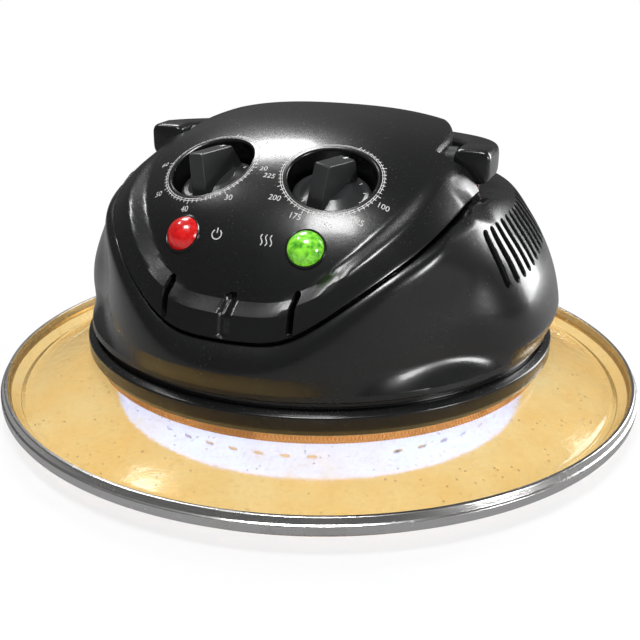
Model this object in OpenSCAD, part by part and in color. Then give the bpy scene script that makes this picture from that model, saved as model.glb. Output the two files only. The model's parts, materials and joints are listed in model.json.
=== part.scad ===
// Heater head of a halogen oven on its glass lid.
// The origin is on the central axis, on the surface that the heater guard
// stands on. +Z is up and the console faces -Y.

/* [Cover] */
// Height of the highest point of the cover
cover_top = 149; // [143:1:156]
// Half width of the cover's dome at its lowest level
cover_half_w = 125; // [118:1:130]
// Reach of the dome towards the nose
cover_front = 139.3; // [132:0.1:144]
// Reach of the dome towards the rear
cover_rear = 56; // [50:1:64]
// Wall of the cover and of the housing
wall = 2.8; // [2:0.1:3.6]
// Height of the cover's lower edge at the nose
seam_nose_z = 70; // [64:1:76]
// Depth of the band round the cover's lower edge
band_h = 15; // [10:1:20]
// How far that band stands out at the nose
band_out = 6; // [3:0.5:8]
// Height of the three slots over the nose
nose_slot_h = 14; // [10:1:18]
// Width of a nose slot
nose_slot_w = 3; // [2:0.2:4]

/* [Housing] */
// Half width of the housing between its pods
body_half_w = 97; // [92:1:102]
// Reach of the housing towards the nose
body_front = 121; // [118:0.5:122]
// Reach of the housing towards the rear
body_rear = 113; // [108:1:118]
// Height of the rear deck
deck_z = 112; // [108:1:116]
// Reach of a side pod from the middle
pod_reach = 125.5; // [122:0.5:130]
// Length of a side pod along the head
pod_len = 112; // [96:1:116]
// Number of vent slots in a pod
vent_count = 12; // [8:1:14]
// Width of a vent slot
vent_w = 3.8; // [2.4:0.2:4.6]
// Distance from one vent slot to the next
vent_pitch = 7.6; // [6.4:0.2:8]

/* [Knobs and lamps] */
// Distance of a dial from the middle
dial_x = 30; // [28:0.5:34]
// Radius of a knob well
well_r = 20; // [18:0.5:22]
// Depth of a knob well
well_depth = 17; // [14:0.5:20]
// Radius of a knob's skirt
knob_r = 18; // [16:0.5:18.5]
// Height of a knob's grip over its skirt
grip_h = 23; // [18:0.5:25]
// Width of a knob's grip
grip_w = 10; // [8:0.5:12]
// Radius of a knob shaft
knob_shaft_r = 3; // [2.5:0.1:4]
// Distance of a lamp from the middle
lamp_x = 29.6; // [26:0.2:34]
// Radius of a lamp lens
lamp_r = 8; // [6:0.5:10]

/* [Handle] */
// Inner face of a handle arm, from the middle
arm_in_x = 72; // [70:0.5:76]
// Width of a handle arm
arm_w = 18; // [14:0.5:20]
// Height of a handle arm at its pivot
arm_h = 16.5; // [14:0.5:18]
// Reach of a handle arm in front of its pivot
arm_front = 13; // [10:0.5:13]
// Height of the handle's pivot axis
pivot_z = 131.5; // [130:0.5:134]
// Distance of the bar's middle behind the pivot
bar_back = 86; // [84:0.5:92]
// How far the bar lies below the pivot at the rear
bar_drop = 8.5; // [4:0.5:9]
// Radius of a pivot pin
pin_r = 3; // [2.5:0.1:4]
// Travel of the safety plunger
plunger_travel = 3; // [2:0.5:4]

/* [Lid] */
// Outer radius of the lid
lid_r = 170; // [160:1:190]
// Height of the top of the lid's rim
rim_top_z = 18; // [16:0.5:20]
// Height of the rim's outer face
rim_h = 8; // [6:0.5:9]
// Thickness of the glass
glass_t = 4.5; // [3.5:0.1:5]
// Radius of the hole in the glass
hole_r = 104; // [100:0.5:106]
// Radius of the sphere that the glass dome follows
glass_sphere_r = 420; // [380:10:480]
// Outer radius of the base ring
ring_r = 123.5; // [121:0.5:128]
// Height of the base ring's visible face
ring_h = 11; // [9:0.5:13]

/* [Heater] */
// Outer radius of the heater guard
guard_r = 110; // [108:0.5:112]
// Sheet thickness of the guard, heat shield and base plate
sheet = 1; // [0.8:0.1:1.5]
// Width of the lip that carries the guard's grille
guard_lip = 6; // [4:0.5:8]
// Number of slots in each of the guard's six groups
guard_slots = 7; // [3:1:8]
// Radius of the circle that the halogen tube lies on
tube_ring_r = 76; // [70:1:84]
// Radius of the halogen tube
tube_r = 5; // [4:0.5:6]
// Radius of the convection fan
fan_r = 56; // [45:1:60]
// Number of blades of the convection fan
fan_blades = 10; // [6:1:12]

/* [Motor] */
// Radius of the motor shaft
shaft_r = 2.5; // [2:0.1:3]
// Radial clearance of a shaft in its bush
fit = 0.05; // [0.03:0.01:0.08]
// Width of the motor's laminated core
core_w = 62; // [50:1:70]
// Depth of the laminated core
core_d = 50; // [44:1:56]
// Height of the laminated core
core_h = 18; // [12:1:20]
// Radius of the cooling fan
cool_r = 42; // [34:1:46]
// Number of blades of the cooling fan
cool_blades = 7; // [5:1:9]

/* [Hidden] */
seat = 0.3;
eps = 0.01;

// Shape of the cover: a dome with rounded-square plan and section.
cover_base = 20;
cover_mid_y = 24;
plan_p = 2.3;
side_k = 2.9;
cover_h = cover_top - cover_base;
pod_in_x = 60;
seam_slope = 0.78;
seam_turn_x = 28;
seam_soft = 6;

// Console: places of the dials and lamps, and the tilt of a dial's axis.
dial_y = -63.7;
dial_z = dome_z(dial_x, dial_y);
dial_fwd = 19;
dial_out = 7.8;
lamp_y = -94.5;
lamp_z = dome_z(lamp_x, lamp_y);

// Pockets of the handle arms.
pocket_x = arm_in_x - 5.5;
pivot_y = -2;
pocket_front_y = -18;
pocket_floor_z = deck_z + seat + wall;

// Pods.
pod_mid_y = 5;
pod_base_z = 40;
pod_h = 90;
pod_e = 2.5;
pod_bow_r = 160;
pod_q = 4;
corner_x = 88;
fall = 0.6;
core_in = 8;
pod_blend = 6;

// Stack of the lid, the ring and the plates, from the glass upwards.
step_r = lid_r - 13;
step_z = rim_top_z - 7;
rim_t = 0.8;
ring_z = glass_top(hole_r) + 1.6;
ledge_t = 3;
skirt_gap = 4;
skirt_z = ring_z + ring_h + skirt_gap;
skirt_r = ring_r - 2.5;
neck_gap = 0.6;
neck_r = skirt_r - wall - neck_gap;
shield_z = glass_top(hole_r) + 0.6;
shield_r = hole_r - 2;
flange_r = hole_r + 9;
plate_z = ring_z + ledge_t;
plate_top = plate_z + sheet;
guard_top_z = flange_low(guard_r);
screw_count = 6;
screw_ring_r = 92;
screw_r = 2;

// Heights of the motor parts and the fans.
fan_h = 12;
cool_z = plate_top + 4;
lower_z = cool_z + fan_h + 4;
core_z = lower_z + 2;
upper_z = core_z + core_h;
fan_z = shield_z - 4 - fan_h;
tube_z = fan_z + 1;
tube_end_turn = 15;
tube_end_h = 16;
rotor_r = 13;
window_y = 19;
window_d = 9;
leg_d = 13;
post_x = 44;
post_y = 32;
bush_len = 5;

// Knob shafts and what carries them, along a dial's axis.
works_z = -well_depth - wall;
off_turn = 10;
shaft_in = 14;

// Handle and its switch.
plunger_turn = 15;
plunger_x = bar_at(plunger_turn)[0] - 2.5;
plunger_y = bar_at(plunger_turn)[1];
plunger_r = 2.5;
plunger_top = bar_height(plunger_turn) - bar_up(plunger_turn) - 0.35;
switch_top = deck_z - wall - seat;
core_back = bar_back - 16;
plate_half = arm_in_x + arm_w / 2;
plate_back = bar_back - 10;
opening_x = 66;

// Mains inlet at the rear.
inlet_z = 74;
inlet_r = 8;

// Top of the glass at radius r, on the dome inside the step.
function glass_top(r) = step_z + sqrt(pow(glass_sphere_r, 2) - r * r)
    - sqrt(pow(glass_sphere_r, 2) - step_r * step_r);

// Underside of the heat shield's flange, which follows the glass.
function flange_low(r) = glass_top(r) - glass_t - seat - sheet;

// Signed power, for rounded-square outlines.
function spow(v, e) = sign(v) * pow(abs(v), e);

// Plan scale of the dome at height z, and its height over a point.
function dome_level(z) = pow(1 - pow((z - cover_base) / cover_h, side_k), 1 / side_k);
function dome_s(x, y) = pow(pow(abs(x) / cover_half_w, plan_p)
    + pow(abs(y - cover_mid_y) / (y < cover_mid_y ? cover_front : cover_rear), plan_p), 1 / plan_p);
function dome_z(x, y) = cover_base + cover_h * pow(1 - pow(dome_s(x, y), side_k), 1 / side_k);

// Plan direction of the dome at the turn a, at full scale.
function dome_dir(a) = [cover_half_w * spow(cos(a), 2 / plan_p),
    (sin(a) < 0 ? cover_front : cover_rear) * spow(sin(a), 2 / plan_p)];

// Smooth step from 0 at a to 1 at b.
function ease(a, b, v) = let (t = min(1, max(0, (v - a) / (b - a)))) t * t * (3 - 2 * t);

// Height of the seam between cover and housing: level over the nose, then
// climbing to the sides, and down to the deck behind the pockets' fronts.
function seam_front(x) = seam_nose_z
    + seam_slope * seam_soft * ln(1 + exp((abs(x) - seam_turn_x) / seam_soft));
function seam_z(x, y) = let (front = seam_front(x))
    front + (deck_z + seat - front) * ease(pocket_front_y - 2, pocket_front_y + 12, y);

// Closed mesh from stacked rings of points, each ring anticlockwise from above.
module loft(rings) {
    n = len(rings[0]);
    m = len(rings);
    function mean(r) = [for (q = r) 1] * r / len(r);
    points = concat([for (r = rings) each r], [mean(rings[0]), mean(rings[m - 1])]);
    sides = [for (j = [0:m - 2]) for (i = [0:n - 1]) let (k = (i + 1) % n)
        each [[j * n + i, j * n + k, (j + 1) * n + k], [j * n + i, (j + 1) * n + k, (j + 1) * n + i]]];
    bottom = [for (i = [0:n - 1]) [m * n, (i + 1) % n, i]];
    top = [for (i = [0:n - 1]) [m * n + 1, (m - 1) * n + i, (m - 1) * n + (i + 1) % n]];
    polyhedron(points = points, faces = [for (f = concat(sides, bottom, top)) [f[0], f[2], f[1]]]);
}

// Where the dome meets the seam at the turn a, and how far the band stands out.
function band(a) = band_out * (1 - ease(-95, -50, cover_mid_y + dome_dir(a)[1]));
function edge_point(a, z) = let (d = dome_dir(a), s = dome_level(z) + band(a) / norm(d))
    [d[0] * s, cover_mid_y + d[1] * s];
function edge_z(a, z = 100, left = 5) = left == 0 ? z
    : let (p = edge_point(a, z)) edge_z(a, seam_z(p[0], p[1]), left - 1);

// The dome as a solid, drawn in by inset, upwards from the seam or from a level.
module dome(inset, steps, turns, low, follow_seam) {
    k = (cover_half_w - inset) / cover_half_w;
    function at(a, u) = let (
        edge = edge_z(a),
        start = asin(pow(((follow_seam ? edge - low : low) - cover_base) / cover_h, side_k / 2)),
        psi = start + (90 - start) * u,
        z = cover_base + (cover_h - inset) * pow(sin(psi), 2 / side_k),
        out = band(a) * (1 - ease(0.35 * band_h, band_h, z - edge)),
        d = dome_dir(a),
        s = pow(max(0, cos(psi)), 2 / side_k) * k + out / norm(d))
        [d[0] * s, cover_mid_y + d[1] * s, z];
    loft([for (j = [0:steps - 1])
        [for (i = [0:turns - 1]) at(360 * i / turns, j / steps)]]);
}

// Places a child on the dial on one side: its z axis is the dial's axis.
module on_dial(side) {
    translate([side * dial_x, dial_y, dial_z])
    rotate([0, side * dial_out, 0])
    rotate([dial_fwd, 0, 0])
    children();
}

// Slope of the dome at a lamp, from the dome's own section.
lamp_fwd = atan2(dome_z(lamp_x, lamp_y + 1) - dome_z(lamp_x, lamp_y - 1), 2);
lamp_out = atan2(dome_z(lamp_x - 1, lamp_y) - dome_z(lamp_x + 1, lamp_y), 2);

// Places a child on the lamp on one side, along the console's normal.
module on_lamp(side) {
    translate([side * lamp_x, lamp_y, lamp_z])
    rotate([lamp_fwd, 0, 0])
    rotate([0, side * lamp_out * cos(lamp_fwd), 0])
    children();
}

// All behind a line across the head, but for a middle with straight sides at
// the front and half an ellipse at the rear.
module round_core(front_y, half, back) {
    reach = 2 * cover_half_w;
    difference() {
        translate([-reach, front_y]) square([2 * reach, reach]);
        translate([0, pivot_y]) scale([half, back]) circle(r = 1, $fn = 64);
        translate([-half, front_y - 1]) square([2 * half, pivot_y - front_y + 1]);
    }
}

// The channel that the handle lies in, grown by g.
module channel(g) {
    translate([0, 0, pocket_floor_z - g]) linear_extrude(cover_h)
        round_core(pocket_front_y - g, pocket_x - g, core_back - g);
}

// What is trimmed off round the floor plate of that channel.
module plate_trim() {
    translate([0, 0, deck_z - wall]) linear_extrude(cover_h)
        round_core(pocket_front_y, plate_half, plate_back);
}

module top_cover() {
    color("#17181a")
    difference() {
        dome(0, 16, 76, 0, true);
        difference() {
            dome(wall, 8, 48, 3, true);
            channel(wall);
            for (side = [-1, 1]) on_dial(side)
                translate([0, 0, -well_depth - wall]) cylinder(r = well_r + wall, h = 60, $fn = 48);
        }
        channel(0);
        plate_trim();
        for (side = [-1, 1]) {
            on_dial(side) {
                translate([0, 0, -well_depth]) cylinder(r = well_r, h = 60, $fn = 48);
                translate([0, 0, -40]) cylinder(r = knob_shaft_r + 2, h = 40, $fn = 24);
            }
            on_lamp(side) translate([0, 0, -12]) cylinder(r = lamp_r - 1, h = 24, $fn = 32);
            bush_hole(side);
        }
        plunger_hole();
        for (i = [-1:1]) nose_slot(i);
    }
}

// Front face of the cover at the nose, with its band, at height z above x.
function nose_y(x, z) = cover_mid_y
    - cover_front * pow(pow(dome_level(z), plan_p) - pow(abs(x) / cover_half_w, plan_p), 1 / plan_p)
    - band_out * (1 - ease(0.35 * band_h, band_h, z - seam_front(x)));

// A slot over the nose, cut in short rounded steps down the face.
module nose_slot(i) {
    steps = 4;
    x = i * dial_x;
    low = seam_front(x) + 2.5;
    for (j = [0:steps - 1]) hull() for (t = [j, j + 1]) let (z = low + nose_slot_h * t / steps)
        translate([x, nose_y(x, z) + 2, z])
        rotate([90, 0, 0]) cylinder(r = nose_slot_w / 2, h = 9, $fn = 12, center = true);
}

// Reach of a pod at height z, its plan factor at y, and its front limit.
function pod_x(z) = pod_reach * pow(1 - pow(min(1, max(0, z - pod_base_z) / pod_h), pod_e), 1 / pod_e);
function pod_y(y) = sqrt(1 - pow((y - pod_mid_y) / pod_bow_r, 2));
function pod_front(z) = pod_mid_y - pod_len * (0.6 - 0.08 * ease(75, 42, z) - 0.06 * ease(95, 112, z));

// Height of the housing's top: it follows the seam under the cover, and falls
// away outside the cover's edge.
function ledge_z(x, y) = let (
    top = seam_z(min(abs(x), corner_x), y) - seat,
    edge = band_out * (1 - ease(-95, -50, y)) - 1,
    out = norm([x, y - cover_mid_y]) * (1 - dome_level(top) / dome_s(x, y)) - edge)
    top - fall * max(0, out) * (1 - ease(pocket_front_y - 2, pocket_front_y + 12, y));

// The lesser of two values, rounded over where they are about as large.
function soft_min(a, b, k) = -k * ln(exp(-a / k) + exp(-b / k));

// Radius of the body's wall in the direction of x and y.
function body_r(x, y) = norm([x, y]) * pow(pow(abs(x) / body_half_w, plan_p)
    + pow(abs(y) / (y < 0 ? body_front : body_rear), plan_p), -1 / plan_p);

// How far a point lies outside a pod, or outside the housing as a whole.
function past_pod(x, y, z) = let (
    deep = max(1, pod_x(z) * pod_y(y) - pod_in_x),
    half = y < pod_mid_y ? pod_mid_y - pod_front(z) : pod_len / 2,
    n = pow(pow(max(0, abs(x) - pod_in_x) / deep, pod_q) + pow(abs(y - pod_mid_y) / half, pod_q), 1 / pod_q))
    (n - 1) * deep;
function past_housing(x, y, z) = let (
    skirt = pow(1 - min(1, max(0, (z - skirt_z - 3) / 13)), 2.2),
    sides = soft_min(norm([x, y]) - body_r(x, y), past_pod(x, y, z), pod_blend),
    edge = 1.6 + 2.6 * ease(-40, 50, y))
    -soft_min(-skirt * (norm([x, y]) - skirt_r) - (1 - skirt) * sides, ledge_z(x, y) - z, edge);

// Where a line from radius r at height z, in the turn a and rising by tilt,
// leaves the housing drawn in by inset.
function leaves(a, r, z, tilt, inset, near = 0, far = 40, left = 15) =
    let (t = (near + far) / 2, q = r + t * cos(tilt))
    left == 0 ? [q * cos(a), q * sin(a), z + t * sin(tilt)]
    : past_housing(q * cos(a), q * sin(a), z + t * sin(tilt)) < -inset
    ? leaves(a, r, z, tilt, inset, t, far, left - 1) : leaves(a, r, z, tilt, inset, near, t, left - 1);

// Reach of the housing's side at y and height z.
function wall_x(y, z, near = 60, far = 130, left = 14) = let (t = (near + far) / 2)
    left == 0 ? t
    : past_housing(t, y, z) < 0 ? wall_x(y, z, t, far, left - 1) : wall_x(y, z, near, t, left - 1);

// A radius within the housing's side in the turn a, and the ledge's height there.
function core_r(a) = body_r(cos(a), sin(a)) - core_in;
function rim_z(a) = ledge_z(core_r(a) * cos(a), core_r(a) * sin(a));

// The housing as a solid, drawn in by inset, from low beneath its skirt.
module shell(inset, low) {
    turns = 64;
    foot = skirt_z + 12;
    function edge(a) = 6 + 8 * ease(-40, 50, 100 * sin(a));
    function circle_at(r, z) = [for (i = [0:turns - 1]) let (a = 360 * i / turns)
        [r * cos(a), r * sin(a), z]];
    function ring(z) = [for (i = [0:turns - 1]) let (a = 360 * i / turns) leaves(a, core_r(a), z, 0, inset)];
    function wall_ring(u) = [for (i = [0:turns - 1]) let (a = 360 * i / turns)
        leaves(a, core_r(a), foot + (rim_z(a) - edge(a) - inset - foot) * u, 0, inset)];
    function shoulder(tilt) = [for (i = [0:turns - 1]) let (
        a = 360 * i / turns,
        e = edge(a),
        z = rim_z(a) - e - inset,
        p = leaves(a, core_r(a), z, 0, inset))
        leaves(a, norm([p[0], p[1]]) - e, z, tilt, inset, 0, 40)];
    function inner(k) = [for (i = [0:turns - 1]) let (
        a = 360 * i / turns,
        p = leaves(a, core_r(a), rim_z(a) - edge(a) - inset, 0, inset) * k)
        [p[0], p[1], ledge_z(p[0], p[1]) - inset]];
    loft(concat(
        [circle_at(skirt_r - inset, skirt_z - low)],
        [for (rise = [3, 5, 7.5, 12]) ring(skirt_z + rise)],
        [for (k = [1:6]) wall_ring(k / 6)],
        [for (tilt = [18:18:90]) shoulder(tilt)],
        [inner(0.8), inner(0.65)]));
}

// One vent slot through a pod's wall.
module vent(side, i) {
    y = pod_mid_y - 4 + (i - (vent_count - 1) / 2) * vent_pitch;
    low = 84 + 6 * i / (vent_count - 1);
    high = deck_z - 5;
    mirror([side < 0 ? 1 : 0, 0, 0])
    hull() for (z = [low, (low + high) / 2, high])
        translate([wall_x(y, z) - wall / 2, y, z])
        rotate([0, 45, 0]) cube([eps, vent_w, 9], center = true);
}

module housing() {
    color("#1b1c1f")
    difference() {
        shell(0, 0);
        shell(wall, 5);
        for (side = [-1, 1], i = [0:vent_count - 1]) vent(side, i);
        opening();
        plunger_hole();
        translate([0, body_rear, inlet_z]) rotate([90, 0, 0])
            cylinder(r = inlet_r, h = 20, center = true, $fn = 36);
    }
}

// The hole in the housing's top under the cover.
module opening() {
    in_front = 0.85;
    in_rear = 0.7;
    intersection() {
        translate([0, cover_mid_y, seam_nose_z - 2 * wall])
        linear_extrude(80) polygon([for (i = [0:47]) let (d = dome_dir(7.5 * i))
            [d[0] * in_front, d[1] * (d[1] < 0 ? in_front : in_rear)]]);
        translate([-opening_x, -200, 0]) cube([2 * opening_x, 400, 200]);
    }
}

// Hole that the safety plunger passes through.
module plunger_hole() {
    translate([plunger_x, plunger_y, deck_z - 10]) cylinder(r = plunger_r + 0.5, h = 16, $fn = 24);
}

// Hole for a pivot bush in the inner wall of a pocket.
module bush_hole(side) {
    translate([side * (pocket_x - wall / 2), pivot_y, pivot_z])
    rotate([0, 90, 0]) cylinder(r = pin_r + 2, h = wall + 2, center = true, $fn = 48);
}

// A ring turned from the outline's [r, z] points.
module turned(points) {
    rotate_extrude($fn = 96) polygon(points);
}

module base_ring() {
    round_r = 3;
    top = ring_z + ring_h;
    color("#141516") turned(concat(
        [[hole_r + 4, ring_z], [ring_r - 2, ring_z], [ring_r, ring_z + 2]],
        [for (a = [0:15:90]) [ring_r - round_r * (1 - cos(a)), top - round_r * (1 - sin(a))]],
        [[neck_r, top], [neck_r, skirt_z + 1], [neck_r - 3, skirt_z + 1],
         [neck_r - 3, plate_z], [hole_r + 4, plate_z]]));
}

module gasket() {
    in_r = hole_r + 3;
    out_r = ring_r - 4.5;
    color("#303030") turned(concat([[out_r, ring_z], [in_r, ring_z]],
        [for (i = [0:4]) let (r = in_r + (out_r - in_r) * i / 4) [r, glass_top(r)]]));
}

module glass_lid() {
    top_z = rim_top_z - rim_t;
    channel_z = step_z - 1.4;
    inner = [for (r = [hole_r:(step_r - hole_r) / 8:step_r + eps]) r];
    color("#e0a63c", 0.5) turned(concat(
        [for (r = inner) [r, glass_top(r)]],
        [[lid_r - 12, channel_z], [lid_r - 9.5, channel_z], [lid_r - 3, top_z], [lid_r - rim_t, top_z],
         [lid_r - rim_t, top_z - glass_t + 0.5], [lid_r - 7.5, channel_z - glass_t],
         [step_r, channel_z - glass_t]],
        [for (i = [len(inner) - 2:-1:0]) [inner[i], glass_top(inner[i]) - glass_t]]));
}

module lid_rim() {
    low = rim_top_z - rim_h;
    lip = 3.6;
    low_lip = 2.6;
    color("#c9ccd0") turned([[lid_r - lip, rim_top_z], [lid_r - 0.6, rim_top_z], [lid_r, rim_top_z - 0.6],
        [lid_r, low + 0.6], [lid_r - 0.6, low], [lid_r - low_lip, low], [lid_r - low_lip, low + rim_t],
        [lid_r - rim_t, low + rim_t], [lid_r - rim_t, rim_top_z - rim_t], [lid_r - lip, rim_top_z - rim_t]]);
}

module at_screws() {
    for (i = [0:screw_count - 1]) rotate(360 * i / screw_count + 30)
        translate([screw_ring_r, 0, 0]) children();
}

module base_plate() {
    color("#b9bcc0") difference() {
        translate([0, 0, plate_z]) cylinder(r = neck_r - 3.2, h = sheet, $fn = 96);
        translate([0, 0, plate_z - 1]) cylinder(r = shaft_r + 4, h = sheet + 2, $fn = 48);
        at_screws() translate([0, 0, plate_z - 1]) cylinder(r = screw_r, h = sheet + 2, $fn = 24);
    }
}

module insulation() {
    color("#d8d2c0") difference() {
        translate([0, 0, shield_z + sheet])
            cylinder(r = shield_r - 2, h = plate_z - shield_z - sheet, $fn = 96);
        translate([0, 0, shield_z]) cylinder(r = shaft_r + 6, h = 10, $fn = 48);
        at_screws() translate([0, 0, shield_z]) cylinder(r = screw_r, h = 10, $fn = 24);
    }
}

module heat_shield() {
    color("#c4c7ca") difference() {
        turned(concat([[shaft_r + 4, shield_z], [shield_r - 1, shield_z]],
            [for (r = [shield_r - 1:2:flange_r]) [r, flange_low(r)]],
            [for (r = [flange_r:-2:shield_r]) [r, flange_low(r) + sheet]],
            [[shield_r, shield_z + sheet], [shaft_r + 4, shield_z + sheet]]));
        at_screws() translate([0, 0, shield_z - 1]) cylinder(r = screw_r, h = sheet + 2, $fn = 24);
    }
}

module base_screws() {
    color("#9a9da0") at_screws() {
        translate([0, 0, shield_z - 2]) cylinder(r = 2 * screw_r, h = 2, $fn = 32);
        translate([0, 0, shield_z - 2]) cylinder(r = screw_r, h = plate_top - shield_z + 5, $fn = 24);
    }
}

module heater_guard() {
    groups = 6;
    slot_step = 6.5;
    in_r = guard_r - guard_lip;
    color("#e9e7e0") difference() {
        turned([[in_r, 0], [guard_r, 0], [guard_r, guard_top_z], [in_r, flange_low(in_r)],
            [in_r, flange_low(in_r) - sheet], [guard_r - sheet, guard_top_z - sheet],
            [guard_r - sheet, sheet], [in_r, sheet]]);
        for (g = [0:groups - 1], i = [0:guard_slots - 1])
            rotate(360 * g / groups + (i - (guard_slots - 1) / 2) * slot_step - 90)
            translate([guard_r, 0, 0.55 * guard_top_z]) cube([6, 5, 2.4], center = true);
    }
}

// Rings of wire laid on spokes, which lie on the guard's lip.
module guard_grille() {
    wire = 1;
    ring_step = 0.165 * guard_r;
    inner_r = ring_step / 2;
    spoke_z = sheet + wire;
    color("#c9ccd0") {
        for (r = [inner_r:ring_step:guard_r - guard_lip - wire])
            rotate_extrude($fn = 96) translate([r, spoke_z + 2 * wire + eps]) circle(r = wire, $fn = 24);
        for (a = [0:45:315]) rotate(a) translate([inner_r - 1, 0, spoke_z]) rotate([0, 90, 0])
            cylinder(r = wire, h = guard_r - sheet - seat - inner_r + 1, $fn = 24);
    }
}

module halogen_tube() {
    color("#f3ead2") rotate(90 + tube_end_turn)
    rotate_extrude(angle = 360 - 2 * tube_end_turn, $fn = 96)
    translate([tube_ring_r, tube_z]) circle(r = tube_r, $fn = 32);
}

module tube_ends() {
    color("#efece4") for (side = [-1, 1]) rotate(side * tube_end_turn)
        translate([0, tube_ring_r, tube_z]) rotate([0, side * 90, 0])
        cylinder(r = tube_r + 1.5, h = tube_end_h, $fn = 32);
}

// A clip round a rod of radius r, hung from the heat shield.
module clip(r) {
    t = 1.2;
    play = 0.1;
    w = 6;
    rotate([90, 0, 0]) difference() {
        cylinder(r = r + play + t, h = w, center = true, $fn = 32);
        cylinder(r = r + play, h = w + 2, center = true, $fn = 32);
    }
    translate([-t / 2, -w / 2, r + play + t / 2]) cube([t, w, shield_z - tube_z - r - play - t / 2]);
}

module tube_clips() {
    color("#b9bcc0") {
        for (a = [0, 180, 270]) rotate(a) translate([tube_ring_r, 0, tube_z]) clip(tube_r);
        for (side = [-1, 1]) rotate(side * tube_end_turn)
            translate([side * tube_end_h / 2, tube_ring_r, tube_z]) rotate(90) clip(tube_r + 1.5);
    }
}

// Blades from radius a to b, standing on a disc of radius b at height z0.
module wheel(a, b, z0, disc_z, h, count, lean) {
    difference() {
        union() {
            translate([0, 0, disc_z]) cylinder(r = b, h = 1, $fn = 96);
            translate([0, 0, z0]) cylinder(r = 3 * shaft_r, h = h, $fn = 48);
            for (i = [0:count - 1]) rotate(360 * i / count) translate([a, 0, z0]) rotate(lean)
                cube([b - a - 1, 1, h]);
        }
        translate([0, 0, z0 - 1]) cylinder(r = shaft_r, h = h + 2, $fn = 48);
    }
}

module convection_fan() {
    color("#b9bcc0") wheel(0.4 * fan_r, fan_r, fan_z, fan_z + fan_h - 1, fan_h, fan_blades, 8);
}

module cooling_fan() {
    color("#2a2c30") wheel(0.35 * cool_r, cool_r, cool_z, cool_z, fan_h, cool_blades, 12);
}

module fan_nut() {
    color("#9a9da0") difference() {
        translate([0, 0, fan_z - 4]) cylinder(r = 2.2 * shaft_r, h = 4, $fn = 6);
        translate([0, 0, fan_z - 5]) cylinder(r = shaft_r, h = 6, $fn = 48);
    }
}

module motor_shaft() {
    low = fan_z - 5;
    high = upper_z + bush_len + 4;
    color("#d5d7da") translate([0, 0, low]) cylinder(r = shaft_r, h = high - low, $fn = 48);
}

module rotor() {
    color("#8e9296") difference() {
        translate([0, 0, core_z]) cylinder(r = rotor_r, h = core_h, $fn = 64);
        translate([0, 0, core_z - 1]) cylinder(r = shaft_r, h = core_h + 2, $fn = 48);
    }
}

module motor_core() {
    color("#7d8185") translate([0, 0, core_z]) linear_extrude(core_h) difference() {
        translate([-core_w / 2, -core_d / 2]) square([core_w, core_d / 2 + window_y + window_d + leg_d]);
        circle(r = rotor_r + 0.5, $fn = 64);
        translate([-core_w / 2 + 12, window_y]) square([core_w - 24, window_d]);
    }
}

module motor_coil() {
    t = 4;
    w = core_w - 2 * leg_d;
    leg_y = window_y + window_d;
    color("#9a5a2c") difference() {
        translate([-w / 2, leg_y - t - 0.2, core_z - t - 0.2])
            cube([w, leg_d + 2 * t + 0.4, core_h + 2 * t + 0.4]);
        translate([-w / 2 - 1, leg_y - 0.2, core_z - 0.2]) cube([w + 2, leg_d + 0.4, core_h + 0.4]);
    }
}

// A bearing bracket with its bush, cut clear of the coil.
module bracket(z, bush_z) {
    difference() {
        union() {
            translate([-post_x - 6, -post_y - 6, z]) cube([2 * post_x + 12, 2 * post_y + 12, 2]);
            translate([0, 0, bush_z]) cylinder(r = 3 * shaft_r, h = bush_len, $fn = 48);
        }
        translate([0, 0, bush_z - 5]) cylinder(r = shaft_r + fit, h = 20, $fn = 48);
        translate([-core_w / 2 + 12, window_y - 1, z - 1]) cube([core_w - 24, 60, 4]);
    }
}

module lower_bracket() {
    color("#b9bcc0") bracket(lower_z, lower_z + 2 - bush_len);
}

module upper_bracket() {
    color("#b9bcc0") bracket(upper_z, upper_z);
}

module motor_posts() {
    color("#9a9da0") for (x = [-1, 1], y = [-1, 1]) translate([x * post_x, y * post_y, 0]) {
        translate([0, 0, plate_top]) cylinder(r = 3.5, h = lower_z - plate_top, $fn = 32);
        translate([0, 0, lower_z + 2]) cylinder(r = 3.5, h = upper_z - lower_z - 2, $fn = 32);
    }
}

// A knob in its well, at rest on its off mark: a skirt with a coned top, a
// tapered grip and a bore for the shaft.
module knob() {
    low = -well_depth + 0.8;
    skirt = 3;
    cone = 3;
    rotate(-off_turn) difference() {
        union() {
            translate([0, 0, low]) cylinder(r = knob_r, h = skirt, $fn = 64);
            translate([0, 0, low + skirt]) cylinder(r1 = knob_r, r2 = 0.6 * knob_r, h = cone, $fn = 64);
            translate([-grip_w / 2, 0, low + skirt - eps]) rotate([90, 0, 90]) linear_extrude(grip_w)
                polygon([[1 - knob_r, 0], [knob_r - 1, 0],
                    [0.7 * knob_r, 0.65 * grip_h], [-knob_r / 2, grip_h]]);
        }
        translate([0, 0, low - 1]) cylinder(r = knob_shaft_r, h = 11, $fn = 48);
    }
}

module knob_shaft() {
    translate([0, 0, works_z - shaft_in])
        cylinder(r = knob_shaft_r, h = shaft_in + wall + 0.8 + 10, $fn = 48);
}

module timer_knob() {
    color("#26282b") on_dial(-1) knob();
}

module thermostat_knob() {
    color("#26282b") on_dial(1) knob();
}

module timer_shaft() {
    color("#c9ccd0") on_dial(-1) knob_shaft();
}

module thermostat_shaft() {
    color("#c9ccd0") on_dial(1) knob_shaft();
}

module timer_body() {
    w = 38;
    h = 22;
    color("#cfd2d5") on_dial(-1) difference() {
        translate([-w / 2, -w / 2, works_z - h]) cube([w, w, h]);
        translate([0, 0, works_z - shaft_in - 1])
            cylinder(r = knob_shaft_r + fit, h = shaft_in + 2, $fn = 48);
    }
}

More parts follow.
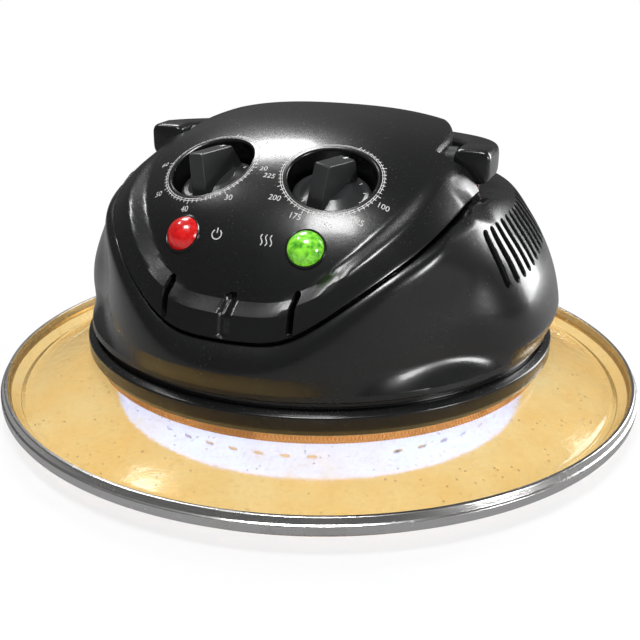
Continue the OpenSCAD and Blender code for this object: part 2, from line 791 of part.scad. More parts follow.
module thermostat_body() {
    size = 0.9 * well_r;
    color("#b98d54") on_dial(1) difference() {
        translate([0, 0, works_z - size]) cylinder(r = size, h = size, $fn = 48);
        translate([0, 0, works_z - shaft_in - 1])
            cylinder(r = knob_shaft_r + fit, h = shaft_in + 2, $fn = 48);
    }
}

module sensor_bulb() {
    r = 3;
    half = 0.3 * tube_ring_r;
    y = -tube_ring_r - tube_r - 1.5 * r;
    z = shield_z - 8;
    color("#b87333") {
        translate([-half, y, z]) rotate([0, 90, 0]) cylinder(r = r, h = 2 * half, $fn = 32);
        for (side = [-1, 1]) translate([side * 0.7 * half, y, z])
            cylinder(r = r / 2, h = shield_z - z, $fn = 24);
    }
}

// A domed lens with a stem that fills its hole in the cover.
module lens() {
    rise = 5;
    sphere_r = (lamp_r * lamp_r + rise * rise) / (2 * rise);
    rotate_extrude($fn = 64) polygon(concat([[0, -6], [lamp_r - 1.2, -6], [lamp_r - 1.2, 0.4], [lamp_r, 0.4]],
        [for (i = [1:8]) let (a = asin(lamp_r / sphere_r) * (1 - i / 8))
            [sphere_r * sin(a), 0.4 + rise - sphere_r * (1 - cos(a))]]));
}

module power_lamp() {
    color("#e01010") on_lamp(-1) lens();
}

module heat_lamp() {
    color("#38d020") on_lamp(1) lens();
}

module lamp_holders() {
    color("#303236") for (side = [-1, 1]) on_lamp(side)
        translate([0, 0, -12]) cylinder(r = lamp_r - 1.2, h = 6, $fn = 48);
}

// Middle of the handle's bar at the turn t round the rear, its height there,
// and half the bar's width and height.
function bar_at(t) = [(arm_in_x + arm_w / 2) * cos(t), pivot_y + bar_back * sin(t)];
function bar_height(t) = pivot_z - bar_drop * sin(t);
function bar_out(t) = (arm_w - 4 * sin(t)) / 2;
function bar_up(t) = (arm_h - 3.5 * sin(t)) / 2;

// Outline of a rounded bar across its run, as [out, up] pairs.
function bar_section(a, b, n) = [for (i = [0:n - 1]) let (q = -360 * (i + 0.5) / n)
    [a * spow(cos(q), 0.5), b * spow(sin(q), 0.5)]];

// The handle: a bail that tapers as it falls round the rear of the cover.
module bail() {
    n = 20;
    turns = 40;
    front = [[arm_front, 0.72], [arm_front - 1.2, 0.88], [arm_front - 3.5, 0.97], [arm_front - 7, 1]];
    function ring(c, dir, z, a, b) = [for (q = bar_section(a, b, n))
        [c[0] + dir[0] * q[0], c[1] + dir[1] * q[0], z + q[1]]];
    function tip(side, f) = ring([side * (arm_in_x + arm_w / 2), pivot_y - f[0]], [side, 0],
        pivot_z, f[1] * bar_out(0), f[1] * bar_up(0));
    function bend(t) = let (d = [bar_back * cos(t), (arm_in_x + arm_w / 2) * sin(t)])
        ring(bar_at(t), d / norm(d), bar_height(t), bar_out(t), bar_up(t));
    loft(concat([for (f = front) tip(1, f)], [for (i = [0:turns]) bend(180 * i / turns)],
        [for (i = [3:-1:0]) tip(-1, front[i])]));
}

module handle() {
    color("#1d1e21") difference() {
        bail();
        for (side = [-1, 1]) translate([side * (arm_in_x - 1), pivot_y, pivot_z]) rotate([0, side * 90, 0])
            cylinder(r = pin_r, h = 1 + 2 * arm_w / 3, $fn = 48);
    }
}

module pivot_pins() {
    in_arm = 2 * arm_w / 3;
    len_x = in_arm + arm_in_x - pocket_x + 1.6 * wall;
    x = arm_in_x + in_arm - len_x / 2;
    color("#c9ccd0") for (side = [-1, 1]) translate([side * x, pivot_y, pivot_z])
        rotate([0, 90, 0]) cylinder(r = pin_r, h = len_x, center = true, $fn = 48);
}

module pivot_bushes() {
    color("#222326") for (side = [-1, 1]) translate([side * pocket_x, pivot_y, pivot_z])
        rotate([0, side * 90, 0])
        difference() {
            union() {
                translate([0, 0, -wall - 1]) cylinder(r = pin_r + 2, h = wall + 1, $fn = 48);
                cylinder(r = pin_r + 3.5, h = arm_in_x - pocket_x - 0.4, $fn = 48);
            }
            translate([0, 0, -4 * wall]) cylinder(r = pin_r + fit, h = 10 * wall, $fn = 48);
        }
}

module safety_switch() {
    h = 14;
    color("#3a3d42") translate([plunger_x, plunger_y, switch_top - h]) difference() {
        translate([-5, -8, 0]) cube([9, 16, h]);
        translate([0, 0, h - plunger_travel - 7]) cylinder(r = plunger_r + fit, h = h, $fn = 48);
    }
}

module switch_plunger() {
    low = switch_top - plunger_travel - 6.5;
    color("#d0402c") translate([plunger_x, plunger_y, low])
        cylinder(r = plunger_r, h = plunger_top - low, $fn = 48);
}

module thermal_cutout() {
    color("#dcd8cc") translate([52, -52, plate_top]) cylinder(r = 8, h = 7, $fn = 48);
}

module terminal_block() {
    color("#e4e2da") translate([-62, 46, plate_top]) difference() {
        cube([30, 16, 12]);
        for (i = [0:2]) translate([5 + 10 * i, 8, 5]) cylinder(r = 2.5, h = 10, $fn = 32);
    }
}

module inlet_bush() {
    wall_y = body_rear + seat;
    color("#202124") translate([0, wall_y + seat, inlet_z]) rotate([-90, 0, 0]) difference() {
        union() {
            cylinder(r = inlet_r + 3, h = 3, $fn = 48);
            translate([0, 0, -wall - 4]) cylinder(r = inlet_r - 0.2, h = wall + 4 + eps, $fn = 48);
        }
        translate([0, 0, -2 * inlet_r]) cylinder(r = inlet_r / 2, h = 4 * inlet_r, $fn = 48);
    }
}

base_ring();
housing();
top_cover();
timer_knob();
thermostat_knob();
timer_shaft();
thermostat_shaft();
timer_body();
thermostat_body();
sensor_bulb();
power_lamp();
heat_lamp();
lamp_holders();
handle();
pivot_pins();
pivot_bushes();
switch_plunger();
safety_switch();
motor_core();
motor_coil();
lower_bracket();
upper_bracket();
motor_posts();
rotor();
motor_shaft();
cooling_fan();
convection_fan();
fan_nut();
base_plate();
insulation();
heat_shield();
heater_guard();
guard_grille();
halogen_tube();
tube_ends();
tube_clips();
gasket();
glass_lid();
lid_rim();
thermal_cutout();
terminal_block();
inlet_bush();
base_screws();
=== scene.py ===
"""Dressed model of the heater head of a halogen oven on its glass lid."""
import json
from math import asin, atan2, copysign, cos, hypot, pi, radians, sin, sqrt, tan

import bmesh
import bpy
import numpy as np
from mathutils import Matrix, Vector


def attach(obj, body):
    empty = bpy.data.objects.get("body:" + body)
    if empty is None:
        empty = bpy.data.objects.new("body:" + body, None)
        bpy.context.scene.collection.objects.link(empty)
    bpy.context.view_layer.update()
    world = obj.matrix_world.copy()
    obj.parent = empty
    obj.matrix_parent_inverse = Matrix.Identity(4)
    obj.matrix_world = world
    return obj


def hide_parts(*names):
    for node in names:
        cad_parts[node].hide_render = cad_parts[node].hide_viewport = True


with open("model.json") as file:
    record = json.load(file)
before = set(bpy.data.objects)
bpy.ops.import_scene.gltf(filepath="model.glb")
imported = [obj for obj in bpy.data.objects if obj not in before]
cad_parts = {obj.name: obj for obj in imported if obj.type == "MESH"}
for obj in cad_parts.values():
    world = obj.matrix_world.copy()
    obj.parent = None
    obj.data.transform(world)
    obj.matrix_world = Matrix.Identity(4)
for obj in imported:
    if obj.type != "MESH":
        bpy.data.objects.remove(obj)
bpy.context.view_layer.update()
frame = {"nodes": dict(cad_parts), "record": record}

NODES = frame["nodes"]
MM = 0.001

# Sizes in millimetres, the same as the solids have.
COVER_TOP, COVER_BASE, COVER_MID_Y = 149.0, 20.0, 24.0
COVER_HALF_W, COVER_FRONT, COVER_REAR = 125.0, 139.3, 56.0
COVER_H = COVER_TOP - COVER_BASE
WALL = 2.8
PLAN_P, SIDE_K = 2.3, 2.9
SEAM_NOSE_Z, SEAM_SLOPE, SEAM_TURN_X, SEAM_SOFT = 70.0, 0.78, 28.0, 6.0
SEAM_BEND, SEAM_BEND_X, TUCK = 0.023, 72.0, 8.0
BAND_LOW, BAND_HIGH, BAND_OUT = 11.4, 15.8, 6.0
BAND_FADE, TUCK_FADE, REAR_FADE = (-95, -50), (-46, -22), (-20, 34)
BODY_HALF_W, BODY_FRONT, BODY_REAR = 97.0, 121.0, 113.0
DECK_Z, SEAT = 112.0, 0.3
POD_REACH, POD_LEN, POD_IN_X, POD_MID_Y = 124.6, 112.0, 60.0, 5.0
POD_BASE_Z, POD_H, POD_E, POD_BOW_R, POD_Q, POD_BLEND = 40.0, 90.0, 2.5, 160.0, 4, 6.0
CORNER_X, FALL, CORE_IN = 84.0, 0.6, 8.0
VENT_COUNT, VENT_W, VENT_PITCH = 12, 3.8, 7.6
DIAL_X, DIAL_Y, DIAL_FWD, DIAL_OUT = 30.0, -63.7, 19.0, 7.8
WELL_R, WELL_DEPTH = 20.0, 17.0
KNOB_R, GRIP_H, GRIP_W, OFF_TURN = 18.0, 23.0, 8.5, 10.0
GRIP_FRONT, GRIP_REAR = 0.74 * KNOB_R, -0.5 * KNOB_R
SCALE_RING_1, SCALE_RING_2, SCALE_TICKS, LINE_W = 22.4, 23.3, 48, 0.28
LAMP_X, LAMP_Y, LAMP_R = 29.6, -94.5, 8.0
NOSE_SLOT_W, NOSE_SLOT_H = 3.0, 14.0
ARM_X, ARM_W, ARM_H, ARM_FRONT = 81.0, 18.0, 16.5, 13.0
PIVOT_Y, PIVOT_Z, BAR_BACK, BAR_DROP = -2.0, 131.5, 86.0, 8.5
POCKET_X, POCKET_FRONT_Y = 66.5, -18.0
POCKET_FLOOR_Z = DECK_Z + SEAT + WALL
CORE_BACK = BAR_BACK - 16
PLATE_HALF, PLATE_BACK = 81.0, BAR_BACK - 10
LID_R, RIM_TOP_Z, RIM_H, GLASS_T, HOLE_R, GLASS_SPHERE_R = 170.0, 18.0, 8.0, 4.5, 104.0, 420.0
STEP_R, STEP_Z, RIM_T = LID_R - 13, RIM_TOP_Z - 7, 0.8
RING_R, RING_H = 123.5, 11.0
GUARD_R, GUARD_LIP, SHEET = 110.0, 6.0, 1.0
FAR, SKY = 170.0, 200.0  # past the part, sideways and upwards
HALVINGS, SEAM_ROUNDS = 36, 12


def spow(v, e):
    return copysign(abs(v) ** e, v)


def ease(a, b, v):
    """From 0 at a to 1 at b, smooth at both ends."""
    t = np.clip((v - a) / (b - a), 0.0, 1.0)
    return t * t * (3 - 2 * t)


def polar(radius, angle):
    return radius * cos(angle), radius * sin(angle)


def circle(turns):
    return [2 * pi * i / turns for i in range(turns)]


def dome_level(z):
    """Scale of the dome's plan at height z."""
    return (1 - ((z - COVER_BASE) / COVER_H) ** SIDE_K) ** (1 / SIDE_K)


def dome_s(x, y):
    """Plan scale of the dome that passes over x and y."""
    reach = np.where(y < COVER_MID_Y, COVER_FRONT, COVER_REAR)
    s = (np.abs(x) / COVER_HALF_W) ** PLAN_P + (np.abs(y - COVER_MID_Y) / reach) ** PLAN_P
    return s ** (1 / PLAN_P)


def dome_z(x, y):
    """Height of the dome over x and y."""
    s = float(dome_s(x, y))
    return COVER_BASE + COVER_H * (1 - s ** SIDE_K) ** (1 / SIDE_K) if s < 1 else COVER_BASE


def dome_dir(a):
    """The point of the dome's base outline at angle a, from the dome's middle."""
    c, s = cos(a), sin(a)
    reach = COVER_FRONT if s < 0 else COVER_REAR
    return COVER_HALF_W * spow(c, 2 / PLAN_P), reach * spow(s, 2 / PLAN_P)


def seam_front(x):
    """Height of the seam round the front, over x."""
    bend = SEAM_BEND * np.maximum(0, np.abs(x) - SEAM_BEND_X) ** 2
    rise = np.logaddexp(0, (np.abs(x) - SEAM_TURN_X) / SEAM_SOFT)
    return SEAM_NOSE_Z + SEAM_SLOPE * SEAM_SOFT * rise + bend


def seam_z(x, y):
    """Height of the seam: it rises to the deck beside the handle's channel."""
    front = seam_front(x)
    return front + (DECK_Z + SEAT - front) * ease(POCKET_FRONT_Y - 2, POCKET_FRONT_Y + 12, y)


def band(a):
    """How far the nose's band stands out at angle a."""
    return BAND_OUT * (1 - ease(*BAND_FADE, COVER_MID_Y + dome_dir(a)[1]))


def tucked(x, y, z):
    """The cover's flank stands upright in front of the handle's channel."""
    deep = TUCK * ease(*TUCK_FADE, y) * ease(136, 118, z) * ease(60, 84, np.abs(x))
    return x - deep * np.sign(x), y, z


def edge_z(a):
    """Height of the cover's lower edge at angle a, found from a first guess."""
    z = 100.0
    d = dome_dir(a)
    out = band(a) / hypot(*d)
    for _ in range(SEAM_ROUNDS):
        s = dome_level(z) + out
        z = (z + seam_z(*tucked(d[0] * s, COVER_MID_Y + d[1] * s, z)[:2])) / 2
    return z


def glass_top(r):
    """Height of the glass's upper face inside its step."""
    bulge = sqrt(GLASS_SPHERE_R ** 2 - r * r)
    return STEP_Z + bulge - sqrt(GLASS_SPHERE_R ** 2 - STEP_R ** 2)


RING_Z = glass_top(HOLE_R) + 1.6
SKIRT_Z = RING_Z + RING_H + 4
SKIRT_R = RING_R - 2.5
NECK_R = SKIRT_R - WALL - 0.6
GUARD_TOP_Z = glass_top(GUARD_R) - GLASS_T - SEAT - SHEET


def turn(axis, degrees):
    return Matrix.Rotation(radians(degrees), 4, axis)


def dial_place(side):
    """Frame of a dial: on the dome, its z along the dial's axis."""
    at = Vector((side * DIAL_X, DIAL_Y, dome_z(DIAL_X, DIAL_Y)))
    return Matrix.Translation(at) @ turn("Y", side * DIAL_OUT) @ turn("X", DIAL_FWD)


def lamp_place(side):
    """Frame of a lamp, square to the dome's surface."""
    fwd = atan2(dome_z(LAMP_X, LAMP_Y + 1) - dome_z(LAMP_X, LAMP_Y - 1), 2)
    out = atan2(dome_z(LAMP_X - 1, LAMP_Y) - dome_z(LAMP_X + 1, LAMP_Y), 2) * cos(fwd)
    at = Vector((side * LAMP_X, LAMP_Y, dome_z(LAMP_X, LAMP_Y)))
    tilt = Matrix.Rotation(fwd, 4, "X") @ Matrix.Rotation(side * out, 4, "Y")
    return Matrix.Translation(at) @ tilt


def height_over(place, u, v):
    """How far above the plane of a dial or lamp the cover's surface lies at (u, v)."""
    low, high = -40.0, 25.0
    for _ in range(HALVINGS):
        mid = (low + high) / 2
        p = place @ Vector((u, v, mid))
        if p.z < dome_z(p.x, p.y):
            low = mid
        else:
            high = mid
    return (low + high) / 2


def put(place, points):
    """Points moved into the frame of a dial or lamp."""
    return [tuple(place @ Vector(p)) for p in points]


# ---- meshes
def placed(name, data):
    """A new object in the scene."""
    piece = bpy.data.objects.new(name, data)
    bpy.context.scene.collection.objects.link(piece)
    return piece


def solid(name, points, faces):
    """A mesh object from points in millimetres, with its faces turned outwards."""
    mesh = bpy.data.meshes.new(name)
    mesh.from_pydata([tuple(c * MM for c in p) for p in points], [], faces)
    mesh.update()
    work = bmesh.new()
    work.from_mesh(mesh)
    bmesh.ops.remove_doubles(work, verts=work.verts, dist=1e-7)
    if work.calc_volume(signed=True) < 0:
        bmesh.ops.reverse_faces(work, faces=work.faces)
    work.to_mesh(mesh)
    work.free()
    return placed(name, mesh)


def side_faces(n, rows, base=0, closed=False):
    """The faces between rows of n points each, the last row joined to the first if closed."""
    return [(base + j * n + i, base + j * n + (i + 1) % n,
             base + (j + 1) % rows * n + (i + 1) % n, base + (j + 1) % rows * n + i)
            for j in range(rows if closed else rows - 1) for i in range(n)]


def loft(name, rings, ends="fan"):
    """A solid through stacked rings of points: its ends are fans, flat faces or joined."""
    n, m = len(rings[0]), len(rings)
    points = [p for ring in rings for p in ring]
    faces = side_faces(n, m, closed=ends == "joined")
    if ends == "flat":
        faces += [tuple(range(n - 1, -1, -1)), tuple(range((m - 1) * n, m * n))]
    elif ends == "fan":
        for ring, down in ((0, True), (m - 1, False)):
            middle = len(points)
            points.append(tuple(sum(c) / n for c in zip(*rings[ring])))
            for i in range(n):
                pair = (ring * n + i, ring * n + (i + 1) % n)
                faces.append((middle, pair[1], pair[0]) if down else (middle, *pair))
    return solid(name, points, faces)


def rounded(corners, steps=5):
    """A closed outline whose corners (a, b, radius) are rounded off."""
    out = []
    for i, (a, b, radius) in enumerate(corners):
        here = Vector((a, b))
        if radius <= 0:
            out.append(tuple(here))
            continue
        before = Vector(corners[i - 1][:2]) - here
        after = Vector(corners[(i + 1) % len(corners)][:2]) - here
        half = before.angle(after) / 2
        back = min(radius / tan(half), 0.49 * before.length, 0.49 * after.length)
        start, end = here + before.normalized() * back, here + after.normalized() * back
        for k in range(steps + 1):
            t = k / steps
            out.append(tuple(start * (1 - t) ** 2 + here * 2 * t * (1 - t) + end * t * t))
    return out


def lathe(name, outline, turns=240, place=None):
    """A ring or a knob turned round the z axis; outline is closed, in (radius, height)."""
    rings = [[(*polar(r, a), z) for r, z in outline] for a in circle(turns)]
    if place:
        rings = [put(place, ring) for ring in rings]
    return loft(name, rings, "joined")


def final_mesh(piece):
    bpy.context.view_layer.update()
    final = piece.evaluated_get(bpy.context.evaluated_depsgraph_get())
    return bpy.data.meshes.new_from_object(final)


def evaluated(piece):
    """Turns what the piece's modifiers make into its plain mesh."""
    mesh = final_mesh(piece)
    piece.modifiers.clear()
    piece.data = mesh
    return piece


def combine(piece, others, operation):
    """Joins other solids to a piece, or cuts them out of it."""
    for other in others:
        step = piece.modifiers.new("solid", "BOOLEAN")
        step.solver = "EXACT"
        step.operation = operation
        step.object = other
    evaluated(piece)
    for other in others:
        bpy.data.objects.remove(other)


def dress(piece, stands_for=(), slot=None, finish=None, body="head", angle=32):
    """Smooths the piece's shading, and gives it its finish, or its slot's, and its body."""
    mesh = piece.data
    work = bmesh.new()
    work.from_mesh(mesh)
    bmesh.ops.remove_doubles(work, verts=work.verts, dist=2e-6)
    bmesh.ops.dissolve_degenerate(work, edges=work.edges, dist=2e-6)
    work.to_mesh(mesh)
    work.free()
    mesh.polygons.foreach_set("use_smooth", [True] * len(mesh.polygons))
    mesh.set_sharp_from_angle(angle=radians(angle))
    mesh.materials.clear()
    mesh.materials.append(finish or BY_SLOT[slot])
    weighted = piece.modifiers.new("normals", "WEIGHTED_NORMAL")
    weighted.keep_sharp = True
    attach(piece, body)
    if stands_for:
        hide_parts(*stands_for)


# ---- node trees
def operator(name, swapped=False):
    """A Math node written as a Python operator."""
    def apply(value, other):
        a, b = (other, value) if swapped else (value, other)
        return value.graph.math(name, a, b)
    return apply


class Value:
    """One output of a node, used in sums as a plain number is."""

    def __init__(self, graph, socket):
        self.graph, self.socket = graph, socket

    __add__ = __radd__ = operator("ADD")
    __sub__, __rsub__ = operator("SUBTRACT"), operator("SUBTRACT", swapped=True)
    __mul__ = __rmul__ = operator("MULTIPLY")
    __truediv__, __rtruediv__ = operator("DIVIDE"), operator("DIVIDE", swapped=True)


class Graph:
    """A node tree under construction."""

    def __init__(self, tree):
        self.tree = tree

    def feed(self, node, sockets):
        for key, value in sockets.items():
            if isinstance(value, Value):
                self.tree.links.new(value.socket, node.inputs[key])
            else:
                node.inputs[key].default_value = value

    def node(self, kind, settings=None, sockets=None):
        """Adds a node: a kind without Node in its name is a shader node."""
        made = self.tree.nodes.new(kind if "Node" in kind else "ShaderNode" + kind)
        for key, value in (settings or {}).items():
            setattr(made, key, value)
        self.feed(made, sockets or {})
        return made

    def value(self, kind, settings=None, sockets=None, output=0):
        return Value(self, self.node(kind, settings, sockets).outputs[output])

    def math(self, operation, a, b=0.0):
        return self.value("Math", {"operation": operation}, {0: a, 1: b})

    def clamp(self, value):
        return self.math("MINIMUM", self.math("MAXIMUM", value, 0.0), 1.0)

    def step(self, value, low, high, **ends):
        """From 0 at low to 1 at high, or between other ends."""
        sockets = {"Value": value, "From Min": low, "From Max": high}
        sockets.update({key.replace("_", " "): end for key, end in ends.items()})
        return self.value("MapRange", {"interpolation_type": "SMOOTHSTEP"}, sockets)

    def mix(self, factor, a, b):
        return self.value("Mix", {"data_type": "RGBA"}, {0: factor, 6: a, 7: b}, 2)

    def height(self, vector):
        """The z of a vector."""
        return self.value("SeparateXYZ", None, {0: vector}, 2)


# ---- finishes


class Finish(Graph):
    """One material: its shader and the calls that add to it."""

    def __init__(self, name, **constants):
        self.material = bpy.data.materials.new(name)
        self.material.use_nodes = True
        super().__init__(self.material.node_tree)
        self.shader = self.tree.nodes["Principled BSDF"]
        self.wear(**constants)
        self.at = self.value("TexCoord", output="Object")

    def noise(self, scale, detail=3.0, roughness=0.5, at=None):
        sockets = {"Vector": at or self.at, "Scale": scale, "Detail": detail, "Roughness": roughness}
        return self.value("TexNoise", None, sockets, "Fac")

    def cells(self, scale, at=None):
        sockets = {"Vector": at or self.at, "Scale": scale}
        return self.value("TexVoronoi", None, sockets, "Distance")

    def stretched(self, x, y, z):
        return self.value("Mapping", None, {"Vector": self.at, "Scale": (x, y, z)})

    def facing_up(self):
        return self.height(self.value("NewGeometry", output="Normal"))

    def bump(self, height, depth, strength=1.0):
        sockets = {"Height": height, "Distance": depth, "Strength": strength}
        self.wear(Normal=self.value("Bump", None, sockets))

    def wear(self, **sockets):
        self.feed(self.shader, {key.replace("_", " "): value for key, value in sockets.items()})
        return self.material


def grey(v, warm=0.0):
    return (v * (1 + warm), v, v * (1 - warm), 1.0)


def moulded_black(name, level, rough, grain=0.00004, gloss=0.3):
    """Injection moulded black plastic: a little cloudy, with fine grain, dust and rubbed spots."""
    f = Finish(name, Coat_Weight=gloss, Coat_Roughness=0.12)
    cloud = f.noise(26, 4)
    smear = f.step(f.noise(11, 5, 0.6), 0.5, 0.75)
    dust = f.step(f.noise(900, 2), 0.66, 0.8) * f.step(f.facing_up(), 0.25, 0.9)
    scratch = f.step(f.noise(1, 3, 0.6, f.stretched(900, 60, 900)), 0.63, 0.72)
    scuff = scratch * f.step(f.noise(35, 2), 0.52, 0.62)
    shade = f.mix(cloud, grey(level * 0.8), grey(level * 1.25, -0.05))
    shade = f.mix(f.clamp(dust * 0.16 + scuff * 0.08), shade, grey(0.32, 0.03))
    f.bump(f.noise(1700, 2) * 0.6 + f.noise(240, 2), grain)
    matt = rough + cloud * 0.05 + smear * 0.08 + dust * 0.25 + scuff * 0.1
    return f.wear(Base_Color=shade, Roughness=matt)


def printed_white():
    f = Finish("print_white", Coat_Weight=0.0)
    worn = f.step(f.noise(1300, 3), 0.32, 0.45)
    return f.wear(Base_Color=f.mix(worn, grey(0.3), grey(0.7, 0.01)), Roughness=0.5 + f.noise(400) * 0.2)


def lens(name, deep, bright, glow, spread):
    """A lit lamp lens: coloured clear plastic with facets moulded on its inside."""
    f = Finish(name, Coat_Weight=1.0, Coat_Roughness=0.05, IOR=1.49, Emission_Strength=glow)
    facet = f.cells(560)
    cloud = f.noise(210, 4, 0.6)
    light = f.step(f.clamp(facet * 0.35 + cloud * spread), 0.3, 0.95)
    f.bump(facet, 0.0002, 0.5)
    colour = f.mix(light, deep, bright)
    return f.wear(Base_Color=colour, Emission_Color=colour, Roughness=0.2 + cloud * 0.15)


def brushed(name, level, rough, warm=0.01, across=(40, 40, 2600)):
    """Bright sheet metal with fine lines, faint stains and handling marks."""
    f = Finish(name, Metallic=1.0)
    lines = f.noise(1, 3, 0.6, f.stretched(*across))
    stain = f.step(f.noise(34, 5, 0.65), 0.5, 0.8)
    marks = f.step(f.noise(300, 3), 0.6, 0.75)
    shade = f.mix(lines, grey(level * 0.82, warm), grey(level * 1.08, warm))
    shade = f.mix(stain * 0.35, shade, grey(level * 0.6, warm * 4))
    f.bump(lines, 0.00003)
    return f.wear(Base_Color=shade, Roughness=rough + lines * 0.08 + stain * 0.1 + marks * 0.05)


def lid_glass():
    """Browned oven glass: tinted amber, mottled and cloudy, with specks and baked-on stains."""
    f = Finish("lid_glass_amber", IOR=1.35, Specular_IOR_Level=0.12, Transmission_Weight=0.85)
    mottle = f.noise(70, 6, 0.62)
    cloud = f.noise(14, 4)
    patch = f.step(f.noise(22, 5, 0.6), 0.5, 0.72)
    grain = f.noise(420, 3, 0.7)
    speck = f.step(f.cells(230, f.stretched(1, 1, 0.2)), 0.17, 0.08)
    speck *= f.step(f.noise(60, 2), 0.44, 0.56)
    haze = f.clamp(cloud * 0.8 + mottle * 0.7 - 0.3)
    tone = f.mix(haze, (0.98, 0.61, 0.17, 1), (1.0, 0.86, 0.48, 1))
    tone = f.mix(patch * 0.45, tone, (0.93, 0.58, 0.15, 1))
    tone = f.mix(f.step(grain, 0.5, 0.75) * 0.35, tone, (0.72, 0.42, 0.10, 1))
    tone = f.mix(f.clamp(speck * 0.8), tone, (0.24, 0.11, 0.03, 1))
    f.bump(mottle + f.noise(12, 2) * 2, 0.0002)
    return f.wear(Base_Color=tone, Roughness=0.1 + patch * 0.08 + speck * 0.2)


def enamel_white():
    """Enamel of the heater guard with a painted glow: it shines in its own bluish colour, so that the
    amber glass shows it white.
    """
    # painted glow: the guard emits light though it is no lamp
    f = Finish("guard_white", Coat_Weight=0.5, Coat_Roughness=0.15, Emission_Strength=6.0)
    heat = f.noise(48, 4)
    # the colour and the painted glow turn duller and less blue towards the bottom and in random patches
    low = f.step(f.height(f.at), 0.003, 0.0) * 0.5 + f.step(heat, 0.55, 0.75) * 0.15
    shade = f.mix(f.clamp(low), (0.17, 0.27, 0.86, 1), (0.2, 0.25, 0.6, 1))
    f.bump(f.noise(700, 2), 0.00004)
    return f.wear(Base_Color=shade, Emission_Color=shade, Roughness=0.3 + heat * 0.15)


def woven_gasket():
    # painted glow: the braided seal emits a little of its own colour, so that it looks brighter
    f = Finish("gasket_weave", Sheen_Weight=0.3, Emission_Strength=0.25)
    fibre = f.noise(1, 4, 0.6, f.stretched(1500, 1500, 300))
    scorch = f.step(f.noise(40, 4), 0.42, 0.7)
    shade = f.mix(fibre, (0.62, 0.24, 0.05, 1), (1.0, 0.66, 0.30, 1))
    shade = f.mix(scorch * 0.5, shade, (0.34, 0.11, 0.02, 1))
    f.bump(fibre, 0.0002)
    return f.wear(Base_Color=shade, Emission_Color=shade, Roughness=0.75 + fibre * 0.2)


def cast(name, colour, rough, scale=60, depth=0.00005):
    """A plain moulded, cast or fired part: mottled, grained and a little soiled."""
    f = Finish(name)
    mottle = f.noise(scale, 5, 0.6)
    soil = f.step(f.noise(scale * 0.4, 5, 0.7), 0.52, 0.8)
    dull, dirty = (tuple(c * level for c in colour[:3]) + (1,) for level in (0.75, 0.45))
    shade = f.mix(soil * 0.4, f.mix(mottle, dull, colour), dirty)
    f.bump(f.noise(scale * 20, 3) + mottle, depth)
    return f.wear(Base_Color=shade, Roughness=rough + mottle * 0.12 + soil * 0.1)


HANDLE_BLACK = moulded_black("handle_black", 0.012, 0.22)
PRINT = printed_white()

BY_SLOT = {
    "black_satin": moulded_black("cover_black", 0.008, 0.24),
    "black_gloss": moulded_black("housing_black", 0.008, 0.23),
    "black_ring": moulded_black("ring_black", 0.007, 0.2),
    "knob_black": moulded_black("knob_black", 0.035, 0.26, grain=0.00003, gloss=0.25),
    "lens_red": lens("lens_red", (0.5, 0.002, 0.003, 1), (0.9, 0.015, 0.015, 1), 0.25, 0.6),
    "lens_green": lens("lens_green", (0.008, 0.2, 0.008, 1), (0.30, 0.86, 0.05, 1), 0.3, 1.0),
    "lid_glass": lid_glass(),
    "rim_steel": brushed("rim_steel", 0.85, 0.2),
    "guard_white": enamel_white(),
    "gasket": woven_gasket(),
    "steel": brushed("plate_steel", 0.6, 0.28, across=(900, 40, 40)),
    "pin_steel": brushed("pin_steel", 0.75, 0.16),
    "tube_quartz": cast("tube_quartz", (0.95, 0.82, 0.6, 1), 0.12, scale=90),
    "ceramic": cast("ceramic_white", (0.82, 0.8, 0.74, 1), 0.45),
    "insulation": cast("insulation_wool", (0.66, 0.6, 0.46, 1), 0.9, scale=140, depth=0.0004),
    "iron_core": brushed("core_iron", 0.32, 0.4, across=(20, 20, 3000)),
    "copper": brushed("coil_copper", 0.45, 0.3, warm=0.45, across=(1600, 40, 40)),
    "nylon": cast("nylon_natural", (0.78, 0.75, 0.66, 1), 0.4),
    "dark_nylon": cast("nylon_dark", (0.03, 0.031, 0.034, 1), 0.4),
    "plunger_red": cast("plunger_red", (0.09, 0.01, 0.008, 1), 0.35),
}


# ---- copies by rule
class Rule(Graph):
    """A geometry tree under construction."""

    def __init__(self, name, inputs):
        super().__init__(bpy.data.node_groups.new(name, "GeometryNodeTree"))
        self.keys = {key: self.opening(key, kind) for key, kind in inputs.items()}
        self.opening("Geometry", "Geometry", "OUTPUT")
        self.entry = self.tree.nodes.new("NodeGroupInput")

    def opening(self, key, kind, way="INPUT"):
        made = self.tree.interface.new_socket(key, in_out=way, socket_type="NodeSocket" + kind)
        return made.identifier

    def given(self, key):
        return Value(self, self.entry.outputs[key])

    def grow(self, name, **values):
        """A plain mesh object from the tree with these values."""
        host = placed(name, bpy.data.meshes.new(name))
        step = host.modifiers.new("rule", "NODES")
        step.node_group = self.tree
        for key, value in values.items():
            step[self.keys[key.replace("_", " ")]] = value
        return evaluated(host)


